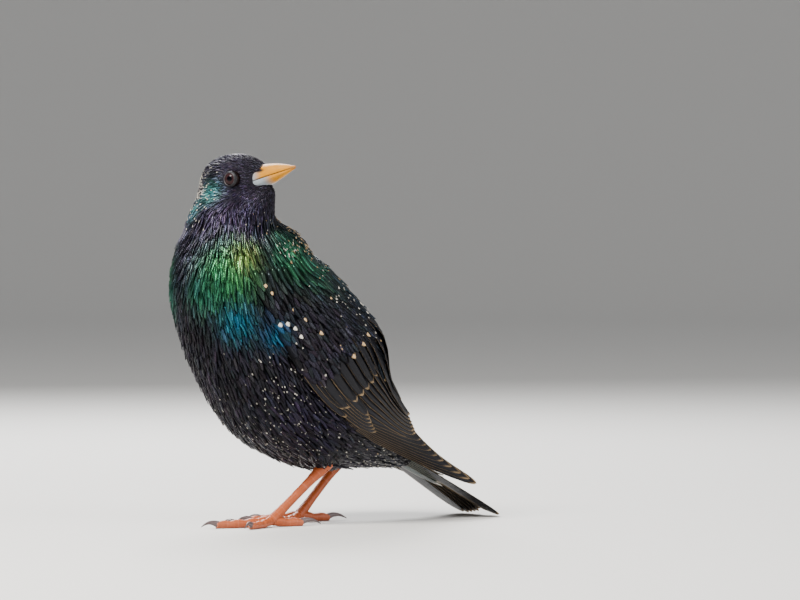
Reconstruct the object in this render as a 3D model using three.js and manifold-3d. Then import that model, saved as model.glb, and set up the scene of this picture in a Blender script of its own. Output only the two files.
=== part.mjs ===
// A still, life-size common starling that stands on the floor and looks back over its left shoulder.
// Millimetres, +Z up. The body faces -X, its left side is -Y, and the floor is z = 0.
import * as THREE from "three";
import { mergeVertices } from "three/addons/utils/BufferGeometryUtils.js";
import Module from "manifold-3d";

const wasm = await Module();
wasm.setup();

// Driving dimensions
const GAP = 0.3; // clearance between neighbouring pieces
const EPS = 0.01; // a length too small to matter
const SLIVER = 0.04; // edges that the unions leave shorter than this are closed up
const LEFT = -1;
const RIGHT = 1;
const SIDES = { left: LEFT, right: RIGHT };

// The body's stations from the neck's top to the rump: the centre's x and z, half-width, half-depth
const BODY_STATIONS = [
  [-30.5, 131.0, 11.0, 11.0],
  [-31.5, 122.0, 15.5, 16.0],
  [-31.5, 114.0, 18.5, 20.0],
  [-29.5, 104.0, 22.5, 27.0],
  [-25.5, 90.5, 25.5, 31.5],
  [-15.0, 74.0, 27.5, 35.0],
  [-2.0, 57.5, 27.5, 35.0],
  [12.0, 44.5, 25.0, 27.5],
  [27.0, 36.0, 19.0, 17.5],
  [40.0, 29.5, 12.5, 10.5],
  [50.0, 24.5, 7.5, 6.0],
];
// The shell that the folded wings lie on: the same stations, carried on along the tail
const SHELL_STATIONS = [
  ...BODY_STATIONS.slice(0, 8),
  [27.0, 36.0, 19.5, 17.5],
  [41.0, 29.5, 15.0, 11.5],
  [56.0, 22.0, 13.5, 9.0],
  [76.0, 13.0, 13.0, 7.0],
];
const BODY_SIDES = 24;
const BODY_RINGS = 20;

// The nape fills the step between the head and the neck: the centre and the radius
const NAPE = [
  [-31.0, 4.6, 131.0, 9.2],
  [-31.2, 4.6, 125.0, 12.0],
  [-31.4, 3.0, 118.0, 15.4],
  [-31.2, 1.0, 110.0, 17.5],
];
// The throat hangs from the chin to the breast in the same way
const THROAT = [
  [-26.5, -18.6, 129.7, 2.4],
  [-26.9, -16.6, 127.2, 4.4],
  [-27.8, -12.8, 123.6, 7.4],
  [-29.2, -8.6, 118.5, 11.0],
  [-30.6, -4.0, 111.5, 15.6],
];

// Where the body is parted
const SHOULDER_CUT = { at: [-30.5, 0, 108.5], up: [-0.1, 0, 1] };
const HEAD_CUT = { at: [-31.3, 0, 121.5], up: [0.05, 0.12, 1] };

// The head: its centre, the way that the bill points, and its stations along that way
const HEAD_CENTRE = [-31.0, -0.5, 130.0];
const HEAD_TURN = (-76 * Math.PI) / 180; // from +X towards +Y, as seen from above
const HEAD_LIFT = (12 * Math.PI) / 180;
// Forward place, height of the centre, half-width, half-height
const HEAD_STATIONS = [
  [-14.2, -0.6, 3.5, 3.8],
  [-11.6, -0.2, 7.0, 8.0],
  [-7.0, 0.3, 10.2, 11.2],
  [-1.0, 0.4, 11.8, 12.2],
  [5.0, 0.1, 10.8, 11.9],
  [9.5, -0.2, 8.0, 10.9],
  [13.5, -0.2, 5.1, 9.0],
  [16.8, 0.0, 3.5, 6.2],
  [18.9, 1.0, 1.9, 3.6],
];
const HEAD_SIDES = 18;
const HEAD_RINGS = 13;

// The bill: it parts along the mouth line from the gape to the tip
const BILL_TIP = 32.2;
const GAPE = 9.2;
const MOUTH_LOW = -1.2; // height of the mouth line at the gape
const MOUTH_HIGH = 0.7; // and at the tip
const MOUTH_GAP = 0.35;
// Forward place, half-width, height over the mouth line, depth under it
const BILL_STATIONS = [
  [8.0, 4.6, 4.6, 3.3],
  [12.0, 4.5, 5.2, 3.4],
  [16.0, 4.0, 5.4, 3.0],
  [20.0, 3.3, 4.8, 2.6],
  [24.0, 2.6, 3.9, 2.1],
  [28.0, 1.8, 2.7, 1.6],
  [30.6, 1.05, 1.5, 1.0],
  [31.9, 0.5, 0.6, 0.5],
];
const BILL_SIDES = 16;
const NOSTRIL = { forward: 16.6, up: 2.3, out: 3.3, length: 1.5, height: 0.5, depth: 0.9 };

// The eye and its lids
const EYE = { forward: 7.0, up: 1.3, out: 8.0, radius: 3.2 };
const LID = { radius: 2.75, thickness: 0.55, out: 10.0 };

// Wings: stations of the shell and angles up from the side line, in degrees, give each feather's root and tip
const VANE_THICKNESS = 0.6;
const VANE_STEP = 0.32; // each feather lies this much over the next one
const VANE_TILT = 0.2; // and its outer edge is raised by this slope, as a roof tile's is
const ARM = { first: 3.7, last: 6.9, low: -14, high: 52, swell: 3.4, sink: 1.6 };
const PRIMARIES = {
  count: 7, width: 8.6, lift: 0.5,
  root: [[6.3, -6], [6.1, -12]], tip: [[9.25, 22], [10.9, 0]],
};
const SECONDARIES = {
  count: 4, width: 11.0, lift: 3.1,
  root: [[5.6, 26], [5.9, 0]], tip: [[8.75, 46], [9.1, 22]],
};
const TERTIALS = {
  count: 3, width: 12.5, lift: 6.6,
  root: [[5.6, 52], [5.6, 36]], tip: [[7.95, 62], [8.7, 42]],
};
const GREATER_COVERTS = {
  count: 6, width: 10.6, lift: 4.6,
  root: [[5.2, 50], [5.1, -4]], tip: [[6.9, 48], [6.6, -6]],
};
const MEDIAN_COVERTS = {
  count: 5, width: 10.8, lift: 4.6,
  root: [[4.5, 48], [4.4, -4]], tip: [[5.9, 46], [5.75, -6]],
};
const PRIMARY_COVERTS = {
  count: 2, width: 7.0, lift: 3.4,
  root: [[5.3, -4], [5.3, -12]], tip: [[7.25, -4], [7.6, -9]],
};
const ALULA = {
  count: 2, width: 5.6, lift: 4.4,
  root: [[4.9, -8], [4.9, -13]], tip: [[6.35, -9], [6.6, -13]],
};

// The tail: twelve feathers from a root block, with coverts over and under it
const TAIL_ROOT = [42.0, 0, 28.6];
const TAIL_TIP = [89.5, 0, 1.15];
const TAIL = { pairs: 6, width: 8.6, step: 0.42, spreadRoot: 0.7, spreadTip: 2.05, shorter: 1.1, notch: 2.4 };
const TAIL_BLOCK = { length: 17, halfWidth: 7.6, halfDepth: 3.8 };
const TAIL_COVERTS_OVER = { count: 7, width: 7.4, length: 20, lift: 3.0, spread: 2.5 };
const TAIL_COVERTS_UNDER = { count: 7, width: 7.6, length: 27, lift: -3.6, spread: 2.4 };

// Legs: the foot's place, the ankle, and the toes' headings from straight ahead, in degrees outwards
const FOOT_LIFT = 2.5;
const FOOT_COLLAR = 2.6; // how far over the toes' joint the shank begins
const LEGS = {
  left: { side: LEFT, foot: [-19.5, -9.0], ankle: [4.3, -10.2, 22.6], toes: [-42, -14, 26, 172] },
  right: { side: RIGHT, foot: [5.8, 9.0], ankle: [26.3, 10.2, 23.2], toes: [-30, 4, 34, 186] },
};
const TOE_NAMES = ["inner", "middle", "outer", "hind"];
const TOE_LENGTHS = [15.0, 22.5, 16.0, 13.0];
const TOE_RADII = [1.5, 1.65, 1.5, 1.7];
const TOE_JOINTS = [2, 3, 3, 1];
const CLAW_LENGTHS = [5.6, 7.0, 5.6, 9.0];
const SHANK = { top: 2.6, waist: 1.65, bottom: 2.2 };
const THIGH = { sink: 13, top: 9.0, bottom: 2.9, tail: 2.2 };

const COLOURS = {
  plumage: { color: 0x14121a, roughness: 0.45, metalness: 0.2 },
  flight: { color: 0x17130f, roughness: 0.55, metalness: 0.05 },
  bill: { color: 0xe0a21c, roughness: 0.4, metalness: 0.0 },
  eye: { color: 0x1b0f0c, roughness: 0.08, metalness: 0.0 },
  leg: { color: 0xb8533a, roughness: 0.5, metalness: 0.0 },
  claw: { color: 0x5b4a4c, roughness: 0.35, metalness: 0.0 },
};

// Vectors and curves
const vec = (p) => new THREE.Vector3(...p);
const along = (a, b, share) => a + (b - a) * share;
const radians = THREE.MathUtils.degToRad;
const Y_AXIS = new THREE.Vector3(0, 1, 0);
const Z_AXIS = new THREE.Vector3(0, 0, 1);

// A smooth curve through rows of numbers: at(index) reads between the rows.
function rowsCurve(rows) {
  const last = rows.length - 1;
  const clamp = (i) => Math.min(Math.max(i, 0), last);
  return (index) => {
    const i = Math.min(Math.floor(clamp(index)), last - 1);
    const s = clamp(index) - i;
    return rows[0].map((_, k) => {
      const [a, b, c, d] = [i - 1, i, i + 1, i + 2].map((j) => rows[clamp(j)][k]);
      const m0 = (c - a) / 2;
      const m1 = (d - b) / 2;
      const s2 = s * s;
      const s3 = s2 * s;
      return (2 * s3 - 3 * s2 + 1) * b + (s3 - 2 * s2 + s) * m0 + (3 * s2 - 2 * s3) * c + (s3 - s2) * m1;
    });
  };
}

// A closed solid over rings of points, with a fan at each end. A thin plate is split alike on both faces.
function ringSolid(rings, plate = false) {
  const n = rings[0].length;
  const points = rings.flat();
  const faces = [];
  for (let i = 0; i + 1 < rings.length; i++)
    for (let j = 0; j < n; j++) {
      const a = i * n + j;
      const b = i * n + ((j + 1) % n);
      faces.push(...(plate && j >= n / 2 ? [a, b, b + n, a, b + n, a + n] : [a, b, a + n, b, b + n, a + n]));
    }
  const ends = [rings[0], rings[rings.length - 1]].map((ring) =>
    ring.reduce((sum, p) => sum.add(p), new THREE.Vector3()).divideScalar(n));
  const last = (rings.length - 1) * n;
  const first = points.push(...ends) - 2;
  for (let j = 0; j < n; j++) {
    const k = (j + 1) % n;
    faces.push(first, k, j, first + 1, last + j, last + k);
  }
  const geometry = new THREE.BufferGeometry().setFromPoints(points).setIndex(faces);
  return solidOf(geometry);
}

// A manifold-3d solid of any closed three.js geometry, turned right side out.
function solidOf(geometry) {
  const plain = geometry.index ? geometry.toNonIndexed() : geometry.clone();
  const bare = new THREE.BufferGeometry().setAttribute("position", plain.getAttribute("position"));
  const merged = mergeVertices(bare, EPS);
  const build = (triVerts) =>
    new wasm.Manifold(new wasm.Mesh({
      numProp: 3, vertProperties: new Float32Array(merged.attributes.position.array), triVerts,
    }));
  const faces = new Uint32Array(merged.index.array);
  const made = build(faces);
  return made.volume() > 0 ? made : build(faces.slice().reverse());
}

const join = (solids) => wasm.Manifold.union(solids);
const largest = (solid) => solid.decompose().sort((a, b) => b.volume() - a.volume())[0];

// The side of a plane that its normal points to, starting half a gap off the plane.
function beyond(solid, plane, facing) {
  const n = vec(plane.up).normalize().multiplyScalar(facing);
  return solid.trimByPlane(n.toArray(), n.dot(vec(plane.at)) + GAP / 2);
}

// A mesh node from a solid.
function meshOf(name, solid, look) {
  const { vertProperties, triVerts, numProp } = largest(largest(solid).simplify(SLIVER)).getMesh();
  const positions = new Float32Array((vertProperties.length / numProp) * 3);
  for (let i = 0; i < positions.length / 3; i++)
    positions.set(vertProperties.subarray(i * numProp, i * numProp + 3), i * 3);
  const geometry = new THREE.BufferGeometry()
    .setAttribute("position", new THREE.BufferAttribute(positions, 3))
    .setIndex(new THREE.BufferAttribute(triVerts, 1));
  geometry.computeVertexNormals();
  const mesh = new THREE.Mesh(geometry, new THREE.MeshStandardMaterial(COLOURS[look]));
  mesh.name = name;
  return mesh;
}

// The surface round the body's curved axis: station, angle up from the side line, height over it.
function coatSurface(stations) {
  const at = rowsCurve(stations);
  const frame = (station) => {
    const [x, z, width, depth] = at(station);
    const [x0, z0] = at(station - EPS);
    const [x1, z1] = at(station + EPS);
    const back = new THREE.Vector3(x1 - x0, 0, z1 - z0).normalize();
    return { centre: new THREE.Vector3(x, 0, z), up: Y_AXIS.clone().cross(back).negate(), back, width, depth };
  };
  return (station, angle, height = 0, side = LEFT) => {
    const { centre, up, width, depth } = frame(station);
    return centre
      .addScaledVector(Y_AXIS, side * (width + height) * Math.cos(angle))
      .addScaledVector(up, (depth + height) * Math.sin(angle));
  };
}
const bodySurface = coatSurface(BODY_STATIONS);
const shellSurface = coatSurface(SHELL_STATIONS);

function bodySolid(grow = 0) {
  const last = BODY_STATIONS.length - 1;
  const rings = Array.from({ length: BODY_RINGS + 1 }, (_, i) =>
    Array.from({ length: BODY_SIDES }, (_, j) =>
      bodySurface((last * i) / BODY_RINGS, (j / BODY_SIDES) * 2 * Math.PI, grow)));
  return ringSolid(rings);
}

// Head-frame places: forward along the bill, to the head's left, and up
const headForward = new THREE.Vector3(
  Math.cos(HEAD_TURN) * Math.cos(HEAD_LIFT), Math.sin(HEAD_TURN) * Math.cos(HEAD_LIFT), Math.sin(HEAD_LIFT));
const headLeft = Z_AXIS.clone().cross(headForward).normalize();
const headUp = headForward.clone().cross(headLeft);
const headPlace = (forward, left, up) =>
  vec(HEAD_CENTRE)
    .addScaledVector(headForward, forward)
    .addScaledVector(headLeft, left)
    .addScaledVector(headUp, up);

function headSolid() {
  const at = rowsCurve(HEAD_STATIONS);
  const last = HEAD_STATIONS.length - 1;
  const rings = Array.from({ length: HEAD_RINGS + 1 }, (_, i) => {
    const [forward, up, width, height] = at((last * i) / HEAD_RINGS);
    return Array.from({ length: HEAD_SIDES }, (_, j) => {
      const angle = (j / HEAD_SIDES) * 2 * Math.PI;
      return headPlace(forward, width * Math.cos(angle), up + height * Math.sin(angle));
    });
  });
  return ringSolid(rings);
}

function ellipsoid(centre, radii, segments = 16) {
  const geometry = new THREE.SphereGeometry(1, segments, Math.round(segments * 0.6)).scale(...radii);
  const turn = new THREE.Matrix4().makeBasis(headForward, headLeft, headUp);
  return solidOf(geometry.applyMatrix4(turn.setPosition(centre)));
}

const eyeSolid = (side, grow = 0) =>
  ellipsoid(headPlace(EYE.forward, -side * EYE.out, EYE.up), Array(3).fill(EYE.radius + grow), 12);

// A ring of skin round the eye, facing straight out of the head's side.
function lidSolid(side) {
  const ring = new THREE.TorusGeometry(LID.radius, LID.thickness, 4, 12);
  const turn = new THREE.Matrix4().makeBasis(headForward, headUp, headLeft);
  return solidOf(ring.applyMatrix4(turn.setPosition(headPlace(EYE.forward, -side * LID.out, EYE.up))));
}

// One half of the bill, over the mouth line (half = 1) or under it (half = -1).
function billHalf(half, grow = 0) {
  const at = rowsCurve(BILL_STATIONS);
  const last = BILL_STATIONS.length - 1;
  const rings = Array.from({ length: last + 1 }, (_, i) => {
    const [forward, width, over, under] = at(i);
    const height = half > 0 ? over : under;
    const line = along(MOUTH_LOW, MOUTH_HIGH, (forward - GAPE) / (BILL_TIP - GAPE));
    const mouth = line + half * (MOUTH_GAP / 2 - grow);
    return Array.from({ length: BILL_SIDES }, (_, j) => {
      const angle = (j / BILL_SIDES) * 2 * Math.PI;
      const arch = Math.max(Math.sin(angle), 0) * (height + grow * 2);
      return headPlace(forward, (width + grow) * Math.cos(angle), mouth + half * arch);
    });
  });
  return ringSolid(rings);
}

const nostrilSolid = (side) =>
  ellipsoid(headPlace(NOSTRIL.forward, side * NOSTRIL.out, NOSTRIL.up),
    [NOSTRIL.length, NOSTRIL.depth, NOSTRIL.height], 8);

// Feathers
// The half-width of a vane along its length: narrow at the quill, full, then rounded to the tip.
const vaneShape = (s, pointed) =>
  Math.min(1, 0.45 + 1.6 * s) * Math.pow(Math.max(1 - Math.pow(s, pointed), 0), 0.5) + 0.06;

// A vane over a path of points with outward normals: a thin plate, square in section, tilted by a slope.
function vaneSolid(path, width, pointed = 6, tilt = 0) {
  const last = path.length - 1;
  const rings = path.map(({ point, normal }, i) => {
    const ahead = path[Math.min(i + 1, last)].point.clone().sub(path[Math.max(i - 1, 0)].point).normalize();
    const across = normal.clone().cross(ahead).normalize();
    const out = ahead.clone().cross(across).normalize();
    const half = (width / 2) * vaneShape(i / last, pointed);
    const thick = (VANE_THICKNESS / 2) * (i === last ? 0.6 : 1);
    return [[1, 1], [-1, 1], [-1, -1], [1, -1]].map(([a, b]) =>
      point.clone().addScaledVector(across, a * half).addScaledVector(out, b * thick + a * tilt * half));
  });
  return ringSolid(rings, true);
}

// How far a wing's layers stand off the body: little in front, at the upper edge and at the lower one.
const { smoothstep } = THREE.MathUtils;
function wingRamp(station, degrees) {
  const upper = smoothstep(degrees, 25, 50) * (1 - smoothstep(station, 4.8, 6.6));
  const lower = (1 - smoothstep(degrees, -20, 0)) * (1 - smoothstep(station, 5.5, 7.5));
  return smoothstep(station, 3.4, 6.0) * (1 - 0.8 * upper) * (1 - 0.6 * lower);
}

const QUILL_SINK = 2.4; // a feather's root dips this much under the row over it
const VANE_STOPS = [0, 0.35, 0.7, 0.92, 1];
function wingVane(side, root, tip, lift, width, pointed) {
  const path = VANE_STOPS.map((s) => {
    const station = along(root[0], tip[0], s);
    const degrees = along(root[1], tip[1], s);
    const place = (h) => shellSurface(station, radians(degrees), h, side);
    const height = lift * (1 - 0.35 * s) * wingRamp(station, degrees) - QUILL_SINK * Math.pow(1 - s, 3);
    return { point: place(height), normal: place(height + 1).sub(place(height)).normalize() };
  });
  return vaneSolid(path, width, pointed, side * VANE_TILT);
}

// A row of like vanes between two end ones, each a step over the next.
function wingRow(side, row, pointed) {
  return Array.from({ length: row.count }, (_, k) => {
    const share = k / (row.count - 1);
    const place = (ends) => [0, 1].map((c) => along(ends[0][c], ends[1][c], share));
    const lift = row.lift + (row.count - 1 - k) * VANE_STEP;
    return wingVane(side, place(row.root), place(row.tip), lift, row.width * (1 - 0.02 * k), pointed);
  });
}

// The folded arm under the coverts: a swelling patch on the shell with its root in the body.
function armSolid(side) {
  const rows = 8;
  const columns = 7;
  const place = (i, j, swell) => {
    const station = along(ARM.first, ARM.last, i / rows);
    const degrees = along(ARM.low, ARM.high, j / columns);
    const height = swell > 0 ? swell * wingRamp(station, degrees) : swell;
    return shellSurface(station, radians(degrees), height, side);
  };
  const rings = Array.from({ length: rows + 1 }, (_, i) => {
    const rise = Math.pow(Math.sin((Math.PI * (i + 0.6)) / (rows + 1.2)), 0.6);
    const outer = Array.from({ length: columns + 1 }, (_, j) =>
      place(i, j, ARM.swell * rise * Math.pow(Math.sin((Math.PI * (j + 0.5)) / (columns + 1)), 0.4)));
    const inner = Array.from({ length: columns + 1 }, (_, j) => place(i, columns - j, -ARM.sink));
    return [...outer, ...inner];
  });
  return ringSolid(rings);
}

function wingSolid(side, cutter) {
  const vanes = [
    ...wingRow(side, PRIMARIES, 3.2),
    ...wingRow(side, SECONDARIES, 6),
    ...wingRow(side, TERTIALS, 6),
    ...wingRow(side, GREATER_COVERTS, 6),
    ...wingRow(side, MEDIAN_COVERTS, 5),
    ...wingRow(side, PRIMARY_COVERTS, 4),
    ...wingRow(side, ALULA, 4),
  ];
  return join([armSolid(side), ...vanes]).subtract(cutter);
}

const tailBack = vec(TAIL_TIP).sub(vec(TAIL_ROOT)).normalize();
const tailUp = tailBack.clone().cross(Y_AXIS).normalize();
const tailLength = vec(TAIL_TIP).distanceTo(vec(TAIL_ROOT));
const tailPlace = (back, across, up) =>
  vec(TAIL_ROOT).addScaledVector(tailBack, back).addScaledVector(Y_AXIS, across).addScaledVector(tailUp, up);

function tailVane(from, length, acrossRoot, acrossTip, lift, width, sag = 0) {
  const path = VANE_STOPS.map((s) => ({
    point: tailPlace(from + length * s, along(acrossRoot, acrossTip, s), lift + sag * s * s),
    normal: tailUp.clone(),
  }));
  return vaneSolid(path, width, 9);
}

function tailSolid(bodyGrown) {
  const vanes = [];
  for (const side of Object.values(SIDES))
    for (let i = 0; i < TAIL.pairs; i++) {
      const notch = TAIL.notch * (i === 0 ? 1 : 0.4);
      const length = tailLength - notch - (i === TAIL.pairs - 1 ? TAIL.shorter : 0);
      const [root, tip] = [side * (0.8 + TAIL.spreadRoot * i), side * (1.6 + TAIL.spreadTip * i)];
      const lift = -TAIL.step * i + (side === LEFT ? TAIL.step / 3 : 0);
      vanes.push(tailVane(0, length, root, tip, lift, TAIL.width));
    }
  for (const row of [TAIL_COVERTS_OVER, TAIL_COVERTS_UNDER])
    for (let k = 0; k < row.count; k++) {
      const off = k - (row.count - 1) / 2;
      const drop = Math.sign(row.lift) * -0.4 * Math.abs(off);
      vanes.push(tailVane(4, row.length - 2.2 * Math.abs(off), off * row.spread * 0.5, off * row.spread,
        row.lift + drop + 0.05 * k, row.width, -row.lift * 0.55));
    }
  const block = ringSolid([0, 0.5, 1].map((s) =>
    Array.from({ length: 12 }, (_, j) => {
      const angle = (j / 12) * 2 * Math.PI;
      const shrink = 1 - 0.72 * s * s;
      return tailPlace(TAIL_BLOCK.length * s, TAIL_BLOCK.halfWidth * Math.cos(angle) * (0.75 + 0.25 * shrink),
        TAIL_BLOCK.halfDepth * Math.sin(angle) * shrink);
    })));
  return join([block, ...vanes]).subtract(bodyGrown);
}

// A round limb over a list of places with a radius at each.
function limb(places, sides = 10, finer = 2) {
  const curve = new THREE.CatmullRomCurve3(places.map((p) => vec(p.slice(0, 3))), false, "centripetal");
  const radiusAt = rowsCurve(places.map((p) => [p[3]]));
  const steps = (places.length - 1) * finer;
  const rings = Array.from({ length: steps + 1 }, (_, i) => {
    const ahead = curve.getTangent(i / steps);
    const across = ahead.clone().cross(Math.abs(ahead.z) > 0.9 ? Y_AXIS : Z_AXIS).normalize();
    const up = across.clone().cross(ahead);
    const centre = curve.getPoint(i / steps);
    const [radius] = radiusAt((places.length - 1) * (i / steps));
    return Array.from({ length: sides }, (_, j) => {
      const angle = (j / sides) * 2 * Math.PI;
      return centre.clone()
        .addScaledVector(across, radius * Math.cos(angle))
        .addScaledVector(up, radius * Math.sin(angle));
    });
  });
  return ringSolid(rings);
}

const toeHeading = (leg, k) => {
  const angle = radians(leg.toes[k]) * leg.side;
  return new THREE.Vector3(-Math.cos(angle), Math.sin(angle), 0);
};

// The x and y that lie a way from the foot's centre along a heading.
const alongFloor = (leg, heading, reach) => [leg.foot[0] + heading.x * reach, leg.foot[1] + heading.y * reach];

// A toe from the foot's centre to the claw's root: pads swell between the joints.
function toeSolid(leg, k) {
  const heading = toeHeading(leg, k);
  const stops = 2 * TOE_JOINTS[k] + 2;
  const places = Array.from({ length: stops + 1 }, (_, i) => {
    const s = i / stops;
    const radius = TOE_RADII[k] * (1.12 - 0.26 * s) * (1 + (i % 2 ? 0.1 : -0.06));
    const height = along(FOOT_LIFT, radius * 0.86, Math.min(1, s * 2.4));
    return [...alongFloor(leg, heading, TOE_LENGTHS[k] * s), height, radius];
  });
  return limb(places, 6, 1);
}

// A claw: an arc that rises over the toe's end and comes down to a point on the floor.
function clawSolid(leg, k, grow = 0) {
  const heading = toeHeading(leg, k);
  const root = TOE_LENGTHS[k] - 0.9;
  const thick = TOE_RADII[k] * 0.72;
  const places = Array.from({ length: 5 }, (_, i) => {
    const s = i / 4;
    const reach = root + CLAW_LENGTHS[k] * s;
    const height = 1.5 + 1.1 * Math.sin(Math.PI * Math.min(1, s * 0.9)) - 1.15 * s * s;
    return [...alongFloor(leg, heading, reach), height, thick * (1 - 0.82 * s) + grow];
  });
  return limb(places, 6, 1);
}

const FLOOR = { at: [0, 0, -GAP / 2], up: [0, 0, 1] };

function legSolids(leg, bodyGrown) {
  const ankle = vec(leg.ankle);
  const foot = new THREE.Vector3(...leg.foot, FOOT_LIFT);
  const at = (share, radius) => [...foot.clone().lerp(ankle, share).toArray(), radius];
  const shank = limb([at(-0.02, SHANK.bottom), at(0.12, SHANK.bottom * 0.86), at(0.35, SHANK.waist),
    at(0.7, SHANK.waist * 1.05), at(0.92, SHANK.top * 0.9), at(1.06, SHANK.top)], 12);
  const hip = new THREE.Vector3(leg.ankle[0] - THIGH.sink * 0.45, leg.ankle[1] * 1.15, leg.ankle[2] + THIGH.sink);
  const up = (share, radius) => [...ankle.clone().lerp(hip, share).toArray(), radius];
  const thighAt = (grow) => limb([up(-0.05, THIGH.bottom + grow), up(0.2, THIGH.bottom * 1.5 + grow),
    up(0.6, THIGH.top * 0.85 + grow), up(1, THIGH.top + grow)], 14);
  const toes = TOE_NAMES.map((_, k) => toeSolid(leg, k));
  const heel = ellipsoidAt(foot, [2.3, 2.3, 2.3]);
  const clawsGrown = join(TOE_NAMES.map((_, k) => clawSolid(leg, k, GAP)));
  const ankleCut = { at: [0, 0, foot.z + FOOT_COLLAR], up: [0, 0, 1] };
  const limbWhole = join([shank, heel, ...toes]);
  return {
    thigh: thighAt(0).subtract(bodyGrown),
    thighGrown: thighAt(GAP),
    shank: beyond(limbWhole, ankleCut, 1).subtract(thighAt(GAP)).subtract(bodyGrown),
    foot: beyond(beyond(limbWhole, ankleCut, -1), FLOOR, 1).subtract(clawsGrown),
    claws: TOE_NAMES.map((_, k) => beyond(clawSolid(leg, k), FLOOR, 1)),
  };
}

function ellipsoidAt(centre, radii) {
  return solidOf(new THREE.SphereGeometry(1, 10, 6).scale(...radii).translate(...centre.toArray()));
}

// The whole bird
function starling() {
  const bird = new THREE.Group();
  const body = bodySolid();
  const bodyGrown = bodySolid(GAP);
  const head = headSolid();
  const eyes = Object.values(SIDES).map((side) => eyeSolid(side, GAP));
  const billGrown = join([billHalf(1, GAP), billHalf(-1, GAP)]);
  const forms = [body, head, limb(NAPE, 12), limb(THROAT, 12), lidSolid(LEFT), lidSolid(RIGHT)];
  const skin = join(forms).subtract(join(eyes)).subtract(billGrown);
  const belowHead = beyond(skin, HEAD_CUT, -1);
  bird.add(meshOf("head", beyond(skin, HEAD_CUT, 1), "plumage"));
  bird.add(meshOf("neck", beyond(belowHead, SHOULDER_CUT, 1), "plumage"));
  bird.add(meshOf("torso", beyond(belowHead, SHOULDER_CUT, -1), "plumage"));
  const nostrils = join([nostrilSolid(LEFT), nostrilSolid(RIGHT)]);
  bird.add(meshOf("bill_upper", billHalf(1).subtract(nostrils), "bill"));
  bird.add(meshOf("bill_lower", billHalf(-1), "bill"));
  bird.add(meshOf("tail", tailSolid(bodyGrown), "flight"));
  for (const [name, side] of Object.entries(SIDES)) {
    const leg = legSolids(LEGS[name], bodyGrown);
    bird.add(meshOf(`eye_${name}`, eyeSolid(side), "eye"));
    bird.add(meshOf(`wing_${name}`, wingSolid(side, join([bodyGrown, leg.thighGrown])), "flight"));
    bird.add(meshOf(`thigh_${name}`, leg.thigh, "plumage"));
    bird.add(meshOf(`shank_${name}`, leg.shank, "leg"));
    bird.add(meshOf(`foot_${name}`, leg.foot, "leg"));
    TOE_NAMES.forEach((toe, k) => bird.add(meshOf(`claw_${name}_${toe}`, leg.claws[k], "claw")));
  }
  const reach = new THREE.Box3().setFromObject(bird);
  const middle = reach.getCenter(new THREE.Vector3());
  bird.position.set(-middle.x, -middle.y, -reach.min.z);
  return bird;
}

export default starling();
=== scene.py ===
"""A life-size common starling that looks back over its left shoulder: skin, feather coat, wings, tail, bill,
eyes, legs and claws, on a pale floor. Shapes are worked out in millimetres and stored in metres."""
import math

import bpy
import numpy as np
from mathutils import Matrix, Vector
from mathutils.bvhtree import BVHTree


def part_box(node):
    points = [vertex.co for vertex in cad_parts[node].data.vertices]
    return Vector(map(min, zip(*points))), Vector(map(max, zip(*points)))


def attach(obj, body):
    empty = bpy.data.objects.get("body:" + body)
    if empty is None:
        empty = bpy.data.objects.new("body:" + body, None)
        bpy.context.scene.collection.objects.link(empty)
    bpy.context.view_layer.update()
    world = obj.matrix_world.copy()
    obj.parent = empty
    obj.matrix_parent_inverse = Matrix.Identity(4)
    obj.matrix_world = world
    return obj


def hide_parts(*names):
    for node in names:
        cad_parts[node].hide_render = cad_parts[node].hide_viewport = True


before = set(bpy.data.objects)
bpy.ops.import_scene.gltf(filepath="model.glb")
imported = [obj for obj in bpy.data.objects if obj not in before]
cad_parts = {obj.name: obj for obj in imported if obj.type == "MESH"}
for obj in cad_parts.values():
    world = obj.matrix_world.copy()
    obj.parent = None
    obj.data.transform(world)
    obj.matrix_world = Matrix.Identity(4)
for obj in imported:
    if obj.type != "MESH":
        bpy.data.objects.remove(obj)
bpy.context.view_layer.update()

bl_info = {
    "name": "Common starling",
    "version": (1, 0, 0),
    "blender": (4, 5, 0),
    "location": "View3D > Sidebar > Starling",
    "description": "Builds a feathered starling over its packed solids",
    "category": "Add Mesh",
}

MM = 0.001
EPS = 0.01  # a small step of a station or an angle, for slopes
AHEAD = 0.05  # the step of a station that gives a feather its way back
LEFT = -1
RIGHT = 1
SIDES = {"left": LEFT, "right": RIGHT}
GOLDEN = (math.sqrt(5) - 1) / 2
PATCH = 0.003  # size of one feather's patch on the bake map

# The body from the neck's top to the rump: the axis's x and z, half-width and half-depth
BODY_STATIONS = [
    [-30.5, 131.0, 11.0, 11.0],
    [-31.5, 122.0, 15.5, 16.0],
    [-31.5, 114.0, 18.5, 20.0],
    [-29.5, 104.0, 22.5, 27.0],
    [-25.5, 90.5, 25.5, 31.5],
    [-15.0, 74.0, 27.5, 35.0],
    [-2.0, 57.5, 27.5, 35.0],
    [12.0, 44.5, 25.0, 27.5],
    [27.0, 36.0, 19.0, 17.5],
    [40.0, 29.5, 12.5, 10.5],
    [50.0, 24.5, 7.5, 6.0],
]
# What the folded wings lie on: the same stations, carried on along the tail
SHELL_STATIONS = BODY_STATIONS[:8] + [
    [27.0, 36.0, 19.5, 17.5],
    [41.0, 29.5, 15.0, 11.5],
    [56.0, 22.0, 13.5, 9.0],
    [76.0, 13.0, 13.0, 7.0],
]
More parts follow.
